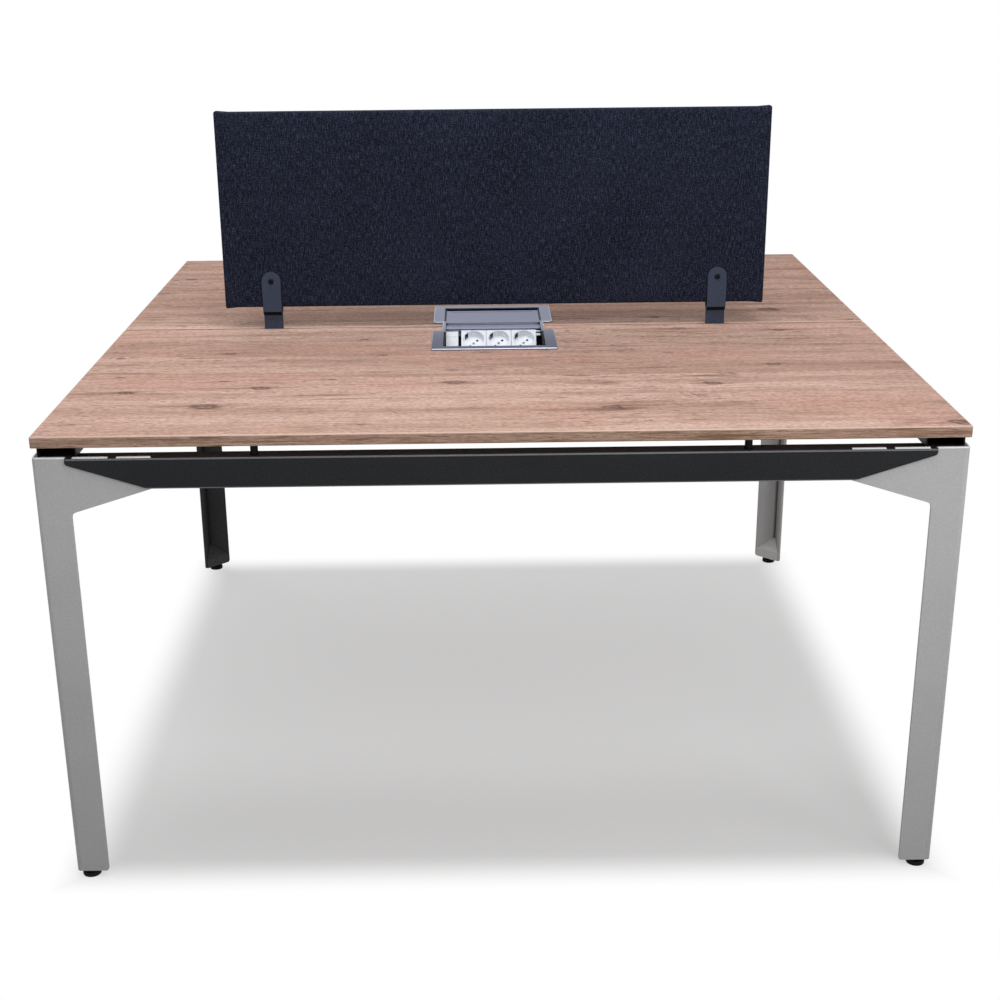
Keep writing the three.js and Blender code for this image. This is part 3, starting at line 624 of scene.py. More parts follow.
class OakDecor:
    """Oak decor in staves, laid on tint by tint, whose grain flows round scattered knots."""

    def __init__(self, finish, along, across, seed, contrast):
        self.finish = finish
        self.tints = bpy.context.scene.desk_colours
        self.along = along
        self.across = across
        self.seed = seed
        self.contrast = contrast
        self.out_along, self.out_across, self.strength = knots(finish, along, across, seed)
        self.squares = [out * out for out in (self.out_along, self.out_across)]
        self.squared = self.squares[0] + self.squares[1]
        self.shifted, self.chance, self.within = staves(finish, along, across)
        self.ring = self.bent_grain()
        self.band, self.streak, self.grain = map(self.staved, (OAK_BAND, OAK_STREAK, OAK_GRAIN))
        self.fibre = self.flowing(OAK_FIBRE)
        self.tone = self.bands()
        self.lay_patches()
        self.lay_streaks()
        self.lay_checks()
        self.lay_joints()
        self.lay_knots()
        self.lay(finish.shown(self.fibre, OAK_FIBRE) * contrast, self.tints.oak_brown)

    def bent_grain(self):
        """Place across the grain, which bows in each stave and is pushed aside by the knots."""
        sway = self.finish.streaks(self.shifted, self.across, OAK_SWAY, self.seed) - HALFWAY
        flow = (self.squared * -FLOW_FADE).maths("EXPONENT")
        return self.across + sway * OAK_BOW - self.out_across * flow * (FLOW_PUSH * KNOT_HALF[1])

    def plain(self, kind):
        """Noise that runs straight through staves and knots."""
        return self.finish.streaks(self.along, self.across, kind, self.seed)

    def flowing(self, kind):
        """Noise that flows round the knots."""
        return self.finish.streaks(self.along, self.ring, kind, self.seed)

    def staved(self, kind):
        """Noise that flows round the knots and starts anew in each stave."""
        return self.finish.streaks(self.shifted, self.ring, kind, self.seed)

    def lay(self, share, tint):
        """Lays a tint over the tone so far."""
        self.tone = self.finish.blend(share, self.tone, tint)

    def bands(self):
        """Pale and tan bands, in staves of changing tone."""
        shade = self.finish.shown(self.band, OAK_BAND) + self.chance * STAVE_TONE
        return self.finish.blend(shade, self.tints.oak_pale, self.tints.oak_tan)

    def lay_patches(self):
        """Rosy and greyish patches."""
        for kind, tint in ((OAK_PATCH, self.tints.oak_pink), (OAK_CLOUD, self.tints.oak_grey)):
            self.lay(self.finish.shown(self.plain(kind), kind), tint)

    def lay_streaks(self):
        """Brown streaks, smears, grain and pores and dark dashes, some of them livelier in places."""
        finish = self.finish
        lively = finish.spread(self.plain(OAK_CALM), *LIVELY) * self.contrast
        streaks = finish.shown(self.streak, OAK_STREAK) * finish.spread(self.band, *IN_BAND)
        smears = finish.shown(self.staved(OAK_SMEAR), OAK_SMEAR) * finish.spread(self.grain, *FEATHERED)
        grain = finish.shown(self.grain, OAK_GRAIN) * self.contrast
        pores = finish.shown(self.plain(OAK_PORE), OAK_PORE) * min(self.contrast, 1)
        for share in (streaks * lively, smears * lively, grain, pores):
            self.lay(share, self.tints.oak_brown)
        self.lay(finish.shown(self.flowing(OAK_DASH), OAK_DASH) * lively, self.tints.oak_knot)

    def lay_checks(self):
        """Slanting checks, with a greyish cast round them."""
        check, checked = checks(self.finish, self.along, self.across, self.seed)
        self.lay(checked * CHECK_GREY, self.tints.oak_grey)
        self.lay(check, self.tints.oak_knot)

    def lay_joints(self):
        """Joints between the staves."""
        dark, pale = joints(self.finish, self.along, self.chance, self.within)
        self.lay(dark * DARK_JOINT, self.tints.oak_brown)
        self.lay(pale * PALE_JOINT, self.tints.oak_joint_and_highlight)

    def lay_knots(self):
        """Brown tails along the grain, then the greyish knots with a dark rim and heart."""
        finish = self.finish
        along, across = (square * -fade for square, fade in zip(self.squares, TAIL_FADE))
        tail = (along + across).maths("EXPONENT") * self.strength
        self.lay(tail * finish.spread(self.grain, *TAIL_GRAIN) * TAIL_SHARE, self.tints.oak_brown)
        spot = finish.vector(self.out_along, self.out_across, self.strength * WOBBLE_SEED)
        ragged = [self.grain, finish.noise(spot, WOBBLE_SCALE)]
        radius = self.squared.maths("SQRT")
        for noise, reach in zip(ragged, KNOT_RAGGED):
            radius = radius + (noise - HALFWAY) * reach
        self.lay(finish.spread(radius, *KNOT_GREY) * self.strength, self.tints.oak_grey)
        rim = finish.spread(abs(radius - RIM_RADIUS), *KNOT_RIM)
        heart = finish.spread(radius, *KNOT_HEART)
        self.lay(rim.maths("MAXIMUM", heart) * self.strength, self.tints.oak_knot)


def oak(finish, along, across, seed, contrast, cast=None, share=0.0):
    """Surface of oak decor, with a cast over it: the rim's painted highlight or an edge band's cast."""
    decor = OakDecor(finish, along, across, seed, contrast)
    if cast:
        decor.lay(share, cast)
    relief = decor.fibre * FIBRE_RELIEF + decor.streak * (1 - FIBRE_RELIEF)
    finish.surface(
        {
            "Base Color": decor.tone,
            "Roughness": OAK_ROUGHNESS + decor.fibre * FIBRE_ROUGHNESS,
            "Normal": finish.bump(relief, strength=0.12, distance=0.3 * MM),
            "Specular IOR Level": 0.003,
        }
    )


def oak_board(name):
    """Face of a worktop."""
    material, finish = new_material(name)
    x, y, _ = finish.axes(finish.place())
    oak(finish, x, y, seed=4.0, contrast=1.0)
    return material


def oak_rim(name):
    """Rounding round a worktop's face, paler with a painted highlight."""
    material, finish = new_material(name)
    x, y, _ = finish.axes(finish.place())
    highlight = bpy.context.scene.desk_colours.oak_joint_and_highlight
    oak(finish, x, y, seed=4.0, contrast=0.5, cast=highlight, share=RIM_HIGHLIGHT_CAST)
    return material


def oak_edge(name):
    """Edge band of a worktop, with a smaller and stronger grain along the edge."""
    material, finish = new_material(name)
    x, y, z = finish.axes(finish.place())
    along, across = (way * scale for way, scale in zip((x + y, z), BAND_SCALE))
    band = bpy.context.scene.desk_colours.oak_band
    oak(finish, along, across, seed=9.0, contrast=3.0, cast=band, share=BAND_CAST)
    return material


def shaded(tint, factor):
    """A darker or paler tint."""
    return [min(1, factor * level) for level in tint]


def powder_coat(tint_name, roughness, gloss, texture, folded=False):
    """Maker of a fine-textured paint, with painted shade in the fold and low on the outside where it coats a
    leg.
    """

    def make(name):
        material, finish = new_material(name)
        tint = getattr(bpy.context.scene.desk_colours, tint_name)
        place = finish.place()
        grain = finish.noise(place, scale=420, detail=4, roughness=0.7)
        drift = finish.noise(place, scale=7, detail=3)
        shade = finish.spread(drift, *MIDDLE) * (1 - GRAIN_SHARE)
        shade = shade + finish.spread(grain, *PAINT_GRAIN) * GRAIN_SHARE
        tone = finish.blend(shade, shaded(tint, 1 - texture), shaded(tint, 1 + texture))
        if folded:
            # painted shade on a leg: in its fold and low on the outside of its wide plate
            tone = finish.blend(leg_shade(finish, place), tone, FOLD_DARK)
        finish.surface(
            {
                "Base Color": tone,
                "Roughness": finish.swung(grain, WIDE, roughness, PAINT_SWING),
                "Normal": finish.bump(grain, strength=0.25, distance=0.25 * MM),
                "Specular IOR Level": gloss,
            }
        )
        return material

    return make


def leg_shade(finish, place):
    """Share of painted shade in the depth of a leg's fold and, faintly, low on the outside of its wide plate.
    """
    x, y, z = finish.axes(place)
    outside = abs(y) > LEG_OUTSIDE.y - SKIN_DEPTH
    beside = abs(x) > LEG_OUTSIDE.x - SKIN_DEPTH
    on_plate = abs(y) > LEG_OUTSIDE.y - PLATE_DEPTH
    inner = LEG_OUTSIDE.x - LEG_SHEET
    deep = finish.spread(abs(x), inner - FOLD_BEGINS, inner - FOLD_FULL)
    # painted shade, darker towards the floor
    low_shade = finish.spread(z, 0, PAINTED_LOW_SHADE_HEIGHT, PAINTED_LOW_SHADE, 0) * outside
    return deep * on_plate * (1 - outside) * (1 - beside) * FOLD_SHARE + low_shade


def cloth(name):
    """Woven melange: dark ground with paler slubs, mostly along the warp."""
    material, finish = new_material(name)
    tints = bpy.context.scene.desk_colours
    u, v, _ = finish.axes(finish.node("ShaderNodeUVMap", {"uv_map": CLOTH_MAP}))
    turns = FULL_TURN / CLOTH_PITCH
    over = (u * turns).maths("SINE") * (v * turns).maths("SINE")
    warp = finish.streaks(v, u, WARP_SLUB)
    pale = finish.shown(warp, WARP_SLUB)
    for kind in (WEFT_SLUB, CLOTH_FLECK, CLOTH_DRIFT):
        pale = pale + finish.shown(finish.streaks(u, v, kind), kind)
    relief = over * WEAVE_RELIEF + warp * SLUB_RELIEF
    finish.surface(
        {
            "Base Color": finish.blend(pale, tints.cloth_dark, tints.cloth_light),
            "Roughness": finish.swung(warp, MIDDLE, CLOTH_ROUGHNESS, CLOTH_SWING),
            "Normal": finish.bump(relief, strength=0.35, distance=0.4 * MM),
            "Specular IOR Level": 0.05,
            "Sheen Weight": 0.02,
            "Sheen Roughness": 0.5,
        }
    )
    return material


def satin_metal(tint_name, roughness, streak, metal=0.85):
    """Maker of a brushed and plated metal, with its strokes along X and a matt share where anodised."""

    def make(name):
        material, finish = new_material(name)
        tint = getattr(bpy.context.scene.desk_colours, tint_name)
        place = finish.place()
        stretched = [way * count for way, count in zip(finish.axes(place), STROKES)]
        strokes = finish.noise(finish.vector(*stretched), detail=3)
        cloud = finish.noise(place, scale=30, detail=2)
        shade = strokes * STROKE_SHARE + cloud * (1 - STROKE_SHARE)
        finish.surface(
            {
                "Base Color": finish.blend(shade, *(shaded(tint, factor) for factor in METAL_SHADES)),
                "Roughness": finish.swung(strokes, WIDE, roughness, streak),
                "Normal": finish.bump(strokes, strength=0.05, distance=0.1 * MM),
                "Metallic": metal,
                "Specular IOR Level": 0.1,
                "Specular Tint": (*(1 - GLOSS_TINT + GLOSS_TINT * level for level in tint), 1),
            }
        )
        return material

    return make


def moulded_plastic(tint_name, roughness, texture, gloss):
    """Maker of a moulded plastic with a spark-eroded skin."""

    def make(name):
        material, finish = new_material(name)
        tint = getattr(bpy.context.scene.desk_colours, tint_name)
        place = finish.place()
        skin = finish.noise(place, scale=1600, detail=2)
        flow = finish.noise(place, scale=25, detail=2)
        finish.surface(
            {
                "Base Color": finish.blend(flow, shaded(tint, PLASTIC_SHADE), tint),
                "Roughness": finish.swung(flow, MIDDLE, roughness, PLASTIC_SWING),
                "Normal": finish.bump(skin, strength=texture, distance=0.1 * MM),
                "Specular IOR Level": gloss,
            }
        )
        return material

    return make


def chipboard(name):
    """Raw chipboard: flat chips of many tones."""
    material, finish = new_material(name)
    tints = bpy.context.scene.desk_colours
    chips = finish.node("ShaderNodeTexVoronoi", sockets={"Vector": finish.place(), "Scale": CHIPS})
    tone = finish.axes(chips.out("Color"))[0]
    finish.surface(
        {
            "Base Color": finish.blend(tone, tints.chip_dark, tints.chip_pale),
            "Roughness": CHIP_ROUGHNESS[0] + tone * CHIP_ROUGHNESS[1],
            "Normal": finish.bump(chips, strength=0.4, distance=0.3 * MM),
        }
    )
    return material


FINISH_MAKERS = {
    "oak_board": oak_board,
    "oak_rim": oak_rim,
    "oak_edge": oak_edge,
    # painted light: the gussets' paint is paler than the legs'
    "light_grey_paint": powder_coat("light_gusset", roughness=0.5, gloss=0.3, texture=0.1),
    "light_grey_leg": powder_coat("light_grey", roughness=0.5, gloss=0.3, texture=0.1, folded=True),
    # painted highlight on the light legs' upper rims
    "light_grey_rim": powder_coat("rim", roughness=0.4, gloss=0.4, texture=0.05),
    # painted light: the dark gusset's paint is paler than its leg's
    "dark_grey_paint": powder_coat("dark_gusset", roughness=0.55, gloss=0.16, texture=0.35),
    "dark_grey_leg": powder_coat("dark_grey", roughness=0.55, gloss=0.16, texture=0.35, folded=True),
    # painted highlight on the dark leg's upper rim
    "dark_grey_rim": powder_coat("bend", roughness=0.4, gloss=0.4, texture=0.2),
    "anthracite_paint": powder_coat("anthracite", roughness=0.5, gloss=0.16, texture=0.4),
    # painted highlight on the beams' bends
    "anthracite_bend": powder_coat("bend", roughness=0.35, gloss=0.5, texture=0.3),
    "black_paint": powder_coat("black", roughness=0.5, gloss=0.12, texture=0.3),
    "slate_paint": powder_coat("slate", roughness=0.5, gloss=0.2, texture=0.3),
    "zinc_plate": satin_metal("zinc", roughness=0.34, streak=0.1),
    # darkened brass: painted shade
    "brass": satin_metal("brass", roughness=0.3, streak=0.08),
    "satin_aluminium": satin_metal("aluminium", roughness=0.44, streak=0.05, metal=0.68),
    # glossier, with a painted highlight in its paler tint
    "polished_edge": satin_metal("polished", roughness=0.3, streak=0.05),
    "black_plastic": moulded_plastic("black", roughness=0.5, texture=0.3, gloss=0.08),
    "white_plastic": moulded_plastic("white", roughness=0.34, texture=0.06, gloss=0.3),
    "chipboard": chipboard,
    "charcoal_cloth": cloth,
}
MADE_FINISHES = {}


def material_of(name):
    """The material of a finish, made on first use."""
    if name not in MADE_FINISHES:
        MADE_FINISHES[name] = FINISH_MAKERS[name](f"desk_{name}")
    return MADE_FINISHES[name]


def dress(*nodes):
    """Gives frame nodes that keep their shape the finish of their slot."""
    for node in nodes:
        for slot in NODES[node].material_slots:
            slot.material = material_of(SLOT_OF[node])


def piece(name, shape, finishes, body, stands_for=(), slot=None):
    """Turns a bmesh into a finished piece that rides on a body."""
    mesh = bpy.data.meshes.new(name)
    shape.to_mesh(mesh)
    shape.free()
    for finish in finishes:
        mesh.materials.append(material_of(finish))
    made = bpy.data.objects.new(name, mesh)
    bpy.context.scene.collection.objects.link(made)
    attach(made, body)
    slot = slot or finishes[0]
    slot in SLOT_OF.values()
    if stands_for:
        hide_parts(*stands_for)
    return made


def body_of(node):
    """Name of the body that a frame node rides on."""
    bodies = frame["record"]["behaviour"]["bodies"]
    return next(body for body, members in bodies.items() if node in members)


def stand_in(name, shape, node, *finishes):
    """A piece in the place of one frame node."""
    return piece(name, shape, finishes or [SLOT_OF[node]], body_of(node), [node], SLOT_OF[node])


def merged(node):
    """A frame node's solid with shared points and whole flat faces."""
    shape = bmesh.new()
    shape.from_mesh(NODES[node].data)
    bmesh.ops.remove_doubles(shape, verts=shape.verts, dist=WELD)
    bmesh.ops.dissolve_limit(shape, angle_limit=FLAT_ANGLE, verts=shape.verts, edges=shape.edges)
    return shape


def bevel(shape, edges, radius, steps):
    """Rounds some edges and returns the new faces."""
    made = bmesh.ops.bevel(
        shape,
        geom=edges,
        offset=radius,
        offset_type="OFFSET",
        affect="EDGES",
        segments=steps,
        profile=0.5,
        material=-1,
        clamp_overlap=True,
    )
    return made["faces"]


def smooth(faces):
    """Shades faces smoothly."""
    for face in faces:
        face.smooth = True


def second_finish(faces):
    """Gives faces the second finish of their piece."""
    for face in faces:
        face.material_index = 1


def round_edges(shape, radius, steps):
    """Rounds every edge that is sharper than the facets of a rolled corner."""
    for face in shape.faces:
        rolled = any(FLAT_ANGLE < edge.calc_face_angle(0) < CREASE_ANGLE for edge in face.edges)
        width = face.calc_area() / max(edge.calc_length() for edge in face.edges)
        face.smooth = rolled and width < FACET_WIDTH
    sharp = [edge for edge in shape.edges if edge.calc_face_angle(0) >= CREASE_ANGLE]
    smooth(bevel(shape, sharp, radius, steps))


def level(edge, height):
    """Whether an edge lies at a height."""
    return all(abs(vert.co.z - height) < WELD for vert in edge.verts)


def looks(edge, way):
    """Whether an upright face at an edge looks some way."""
    return any(abs(face.normal.z) < ACROSS and face.normal.dot(way) > LEANING for face in edge.link_faces)


def softened(name, node, radius, *finishes):
    """A piece in the place of a frame node, of the same form with rounded edges."""
    shape = merged(node)
    round_edges(shape, radius, bpy.context.scene.desk_sizes.edge_steps)
    return stand_in(name, shape, node, *finishes)


def turned(profile, steps=TURN_STEPS):
    """Spins (radius, height) points about the vertical axis."""
    shape = bmesh.new()
    points = [shape.verts.new((radius, 0, height)) for radius, height in profile]
    edges = [shape.edges.new(pair) for pair in zip(points, points[1:])]
    bmesh.ops.spin(
        shape,
        geom=points + edges,
        axis=(0, 0, 1),
        cent=(0, 0, 0),
        angle=FULL_TURN,
        steps=steps,
        use_merge=True,
    )
    bmesh.ops.remove_doubles(shape, verts=shape.verts, dist=WELD)
    bmesh.ops.recalc_face_normals(shape, faces=shape.faces)
    smooth(shape.faces)
    for edge in shape.edges:
        edge.smooth = edge.calc_face_angle(0) < CREASE_ANGLE
    return shape


def disc(radius, low, high):
    """A flat round plug between two heights."""
    return turned([(0, low), (radius, low), (radius, high), (0, high)], PIN_STEPS)


def block(size, centre, radius):
    """A box with rounded edges."""
    shape = bmesh.new()
    bmesh.ops.create_cube(shape, size=1)
    bmesh.ops.scale(shape, vec=size, verts=shape.verts)
    round_edges(shape, radius, bpy.context.scene.desk_sizes.edge_steps)
    bmesh.ops.translate(shape, vec=centre, verts=shape.verts)
    return shape


def moved(shape, matrix):
    """The same bmesh in another place."""
    bmesh.ops.transform(shape, matrix=matrix, verts=shape.verts)
    return shape


def stood(shape, node):
    """The same bmesh, stood in the middle of the lowest face of a frame node's box."""
    low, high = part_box(node)
    middle = (low + high) / 2
    return moved(shape, Matrix.Translation((middle.x, middle.y, low.z)))


def gathered(shapes, matrix):
    """Several bmeshes as one, in another place."""
    whole = bmesh.new()
    for shape in shapes:
        mesh = bpy.data.meshes.new("part")
        shape.to_mesh(mesh)
        shape.free()
        whole.from_mesh(mesh)
        bpy.data.meshes.remove(mesh)
    return moved(whole, matrix)


class DESK_OT_worktops(Operator):
    """Make the two worktops with their edge bands"""

    bl_idname = "desk.worktops"
    bl_label = "Worktops"

    def execute(self, context):
        sizes = context.scene.desk_sizes
        for end in ENDS:
            node = f"worktop_{end}"
            shape = merged(node)
            round_edges(shape, sizes.board_round, sizes.edge_steps)
            for face in shape.faces:
                face.material_index = BOARD_FINISHES.index(self.finish_of(face))
            stand_in(f"board_{end}", shape, node, *BOARD_FINISHES)
        return {"FINISHED"}

    def finish_of(self, face):
        """Finish of a face: board, black on the edge of the box's opening, rim above or edge band."""
        if abs(face.normal.z) > STRAIGHT:
            return "oak_board"
        low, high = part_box("power_bezel")
        centre = face.calc_center_median()
        if all(low[axis] < centre[axis] < high[axis] for axis in (0, 1)):
            return "black_plastic"
        return "oak_rim" if face.normal.z > LEANING else "oak_edge"


class DESK_OT_legs(Operator):
    """Make the four folded legs and their foot gussets"""

    bl_idname = "desk.legs"
    bl_label = "Legs"

    def execute(self, context):
        sizes = context.scene.desk_sizes
        for corner in CORNERS:
            self.leg(f"folded_leg_{corner}", f"leg_{corner}", sizes)
            softened(f"gusset_{corner}", f"foot_gusset_{corner}", sizes.thin_round)
        return {"FINISHED"}

    def leg(self, name, node, sizes):
        """A folded plate, rounder at its heels and along its upper outer rim than at its other edges, with a
        painted highlight on that rim.
        """
        shape = merged(node)
        low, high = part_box(node)
        outward = Vector((math.copysign(1, low.x), math.copysign(1, low.y), 0))
        heels = [
            edge
            for edge in shape.edges
            if level(edge, low.z) and abs(edge.calc_length() - LEG_SHEET) < SHEET_PLAY
        ]
        bevel(shape, heels, sizes.heel_round, sizes.bend_steps)
        rim = [edge for edge in shape.edges if level(edge, high.z) and looks(edge, outward)]
        second_finish(bevel(shape, rim, sizes.rim_round, sizes.bend_steps))
        round_edges(shape, sizes.steel_round, sizes.edge_steps)
        # the rim's finish is a paler paint: a painted highlight
        finishes = [SLOT_OF[node].replace("paint", use) for use in ("leg", "rim")]
        stand_in(name, shape, node, *finishes)


class DESK_OT_feet(Operator):
    """Make the levelling feet with their threaded studs"""

    bl_idname = "desk.feet"
    bl_label = "Levelling feet"

    def execute(self, context):
        for corner in CORNERS:
            node = f"levelling_foot_{corner}"
            low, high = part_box(node)
            shape = turned(self.profile(context.scene.desk_sizes, (high.x - low.x) / 2, high.z))
            stand_in(f"screw_foot_{corner}", stood(shape, node), node)
        return {"FINISHED"}

    def profile(self, sizes, radius, top):
        """Outline of the pad, its collar and the threaded stud."""
        pad = sizes.pad_height
        stud = sizes.stud_radius
        pitch = sizes.thread_pitch
        collar = COLLAR_SHARE * stud
        root = THREAD_ROOT * stud
        outline = [
            (0, 0),
            (radius - PAD_ROUND, 0),
            (radius - PAD_ROUND / 4, 0.3 * PAD_ROUND),
            (radius, PAD_ROUND),
            (radius, pad - PAD_SLOPE),
            (radius - SHOULDER_INSET, pad - SHOULDER_DROP),
            (collar, pad - COLLAR_CHAMFER),
            (collar - COLLAR_CHAMFER, pad),
            (stud, pad),
        ]
        for turn in range(int((top - pad) / pitch) - 1):
            height = pad + turn * pitch
            outline += [(root, height + ROOT_PLACE * pitch), (stud, height + CREST_PLACE * pitch)]
        outline += [(root, top - TIP_CHAMFER * pitch), (STUD_TIP * root, top), (0, top)]
        return outline


class DESK_OT_beams(Operator):
    """Make the front and rear beams, their posts and the side rails"""

    bl_idname = "desk.beams"
    bl_label = "Beams and rails"

    def execute(self, context):
        sizes = context.scene.desk_sizes
        for end in ENDS:
            self.beam(f"channel_{end}", f"beam_{end}", sizes)
        for side in SIDES:
            softened(f"rail_{side}", f"side_rail_{side}", sizes.thin_round)
        for corner in CORNERS:
            self.post(f"spacer_post_{corner}", sizes)
        return {"FINISHED"}

    def beam(self, name, node, sizes):
        """A folded channel, rounder at its long outer bends than at its cut edges, with a painted highlight
        on those bends.
        """
        shape = merged(node)
        low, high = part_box(node)
        outside = max(abs(low.y), abs(high.y))
        bends = [
            edge
            for edge in shape.edges
            if edge.calc_length() > (high.x - low.x) / 2
            and all(abs(abs(vert.co.y) - outside) < WELD for vert in edge.verts)
        ]
        second_finish(bevel(shape, bends, sizes.bend_round, sizes.bend_steps))
        round_edges(shape, sizes.steel_round, sizes.edge_steps)
        stand_in(name, shape, node, "anthracite_paint", "anthracite_bend")

    def post(self, node, sizes):
        """A turned post with a collar at each end."""
        low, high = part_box(node)
        radius = (high.x - low.x) / 2
        rim = sizes.thin_round
        tall = high.z - low.z
        half = [
            (0, 0),
            (radius - rim, 0),
            (radius, rim),
            (radius, POST_COLLAR),
            (POST_WAIST * radius, POST_COLLAR + POST_SLOPE),
        ]
        rest = [(reach, tall - height) for reach, height in reversed(half)]
        stand_in(node.replace("spacer_post", "post"), stood(turned(half + rest), node), node)


class DESK_OT_under_frame(Operator):
    """Finish the steel under the split between the worktops"""

    bl_idname = "desk.under_frame"
    bl_label = "Under frame"

    def execute(self, context):
        sizes = context.scene.desk_sizes
        softened("channel_centre", "centre_beam", sizes.steel_round)
        for side in SIDES:
            softened(f"hanger_{side}", f"centre_hanger_{side}", sizes.steel_round)
            softened(f"support_{side}", f"split_support_{side}", sizes.steel_round)
            dress(f"clamp_bolt_{side}")
        for corner in CORNERS:
            softened(f"anchor_{corner}", f"strap_anchor_{corner}", sizes.thin_round)
        return {"FINISHED"}


class DESK_OT_screen(Operator):
    """Make the screen: cloth stretched over its board"""

    bl_idname = "desk.screen"
    bl_label = "Screen"

    def execute(self, context):
        dress("screen_board")
        sizes = context.scene.desk_sizes
        low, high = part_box("screen_cover")
        shape = self.cover(sizes, low, high)
        self.map_cloth(shape)
        made = stand_in("screen_cloth", shape, "screen_cover")
        skin = made.modifiers.new("Cloth", "SOLIDIFY")
        skin.thickness = sizes.cloth_thickness
        skin.offset = -1
        return {"FINISHED"}

    def cover(self, sizes, low, high):
        """A sleeve over the board, with sewn corners, whose hems nearly meet below."""
        shape = bmesh.new()
        bmesh.ops.create_cube(shape, size=1)
        bmesh.ops.scale(shape, vec=high - low, verts=shape.verts)
        bmesh.ops.translate(shape, vec=(low + high) / 2, verts=shape.verts)
        for axis, cuts in CLOTH_CUTS.items():
            along = [edge for edge in shape.edges if self.runs(edge, axis)]
            bmesh.ops.subdivide_edges(shape, edges=along, cuts=cuts, use_grid_fill=True)
        sharp = [edge for edge in shape.edges if edge.calc_face_angle(0) > CREASE_ANGLE]
        bevel(shape, sharp, sizes.cloth_round, sizes.bend_steps)
        self.split_below(shape, sizes, low)
        self.stand_corners(shape, sizes, low, high)
        smooth(shape.faces)
        return shape

    def runs(self, edge, axis):
        """Whether an edge lies along an axis."""
        step = edge.verts[1].co - edge.verts[0].co
        return abs(step[axis]) > STRAIGHT * step.length

    def split_below(self, shape, sizes, low):
        """Opens the gap between the hems under the screen."""
        for side in (-1, 1):
            geometry = list(shape.verts) + list(shape.edges) + list(shape.faces)
            bmesh.ops.bisect_plane(
                shape, geom=geometry, plane_co=(0, side * sizes.hem_gap / 2, 0), plane_no=(0, 1, 0)
            )
        between = [
            face
            for face in shape.faces
            if abs(face.calc_center_median().y) < sizes.hem_gap / 2
            and face.normal.z < -MOSTLY
            and face.calc_center_median().z < low.z + sizes.cloth_thickness
        ]
        bmesh.ops.delete(shape, geom=between, context="FACES")

    def stand_corners(self, shape, sizes, low, high):
        """Lifts the sewn corners a little."""
        middle = (low + high) / 2
        half = (high - low) / 2
        for vert in shape.verts:
            out = vert.co - middle
            near = [max(0, 1 - (half[axis] - abs(out[axis])) / sizes.ear_reach) for axis in (0, 2)]
            vert.co.z += math.copysign(sizes.cloth_ear * near[0] * near[1], out.z)

    def map_cloth(self, shape):
        """Lays the weave on each face in metres."""
        layer = shape.loops.layers.uv.new(CLOTH_MAP)
        for face in shape.faces:
            spread = [abs(share) for share in face.normal]
            axis = spread.index(max(spread))
            for loop in face.loops:
                x, y, z = loop.vert.co
                loop[layer].uv = ((y, z), (x, z), (x, y))[axis]


class DESK_OT_straps(Operator):
    """Make the screen straps and their bolts"""

    bl_idname = "desk.straps"
    bl_label = "Screen straps"

    def execute(self, context):
        sizes = context.scene.desk_sizes
        for corner in CORNERS:
            self.strap(f"strap_{corner}", f"screen_strap_{corner}", sizes)
        for side in SIDES:
            self.bolt(f"button_bolt_{side}", f"screen_bolt_{side}", sizes)
        return {"FINISHED"}

    def strap(self, name, node, sizes):
        """A bent strap, black under its jog: painted shade."""
        shape = merged(node)
        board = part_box("worktop_front")[1].z
        # painted shade: black on the downward faces of the jog
        second_finish(
            face
            for face in shape.faces
            if face.normal.z < -LEANING and face.calc_center_median().z > board
        )
        round_edges(shape, sizes.steel_round, sizes.edge_steps)
        stand_in(name, shape, node, "slate_paint", "black_paint")

    def bolt(self, name, node, sizes):
        """A through bolt with a domed head at each end and a key recess in it."""
        low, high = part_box(node)
        reach = (high.y - low.y) / 2
        radius = (high.x - low.x) / 2
        head = sizes.bolt_head
        recess = BOLT_RECESS * radius
        half = [
            (0, reach - sizes.bolt_recess),
            (recess, reach - sizes.bolt_recess),
            (recess, reach),
            (BOLT_CROWN * radius, reach - CROWN_DROP),
            *((out * radius, reach - drop * head) for out, drop in BOLT_DOME),
            (BOLT_NECK * radius, reach - head),
        ]
        rest = [(out, -height) for out, height in reversed(half)]
        place = Matrix.Translation((low + high) / 2) @ Matrix.Rotation(math.pi / 2, 4, "X")
        stand_in(name, moved(turned(half + rest), place), node)


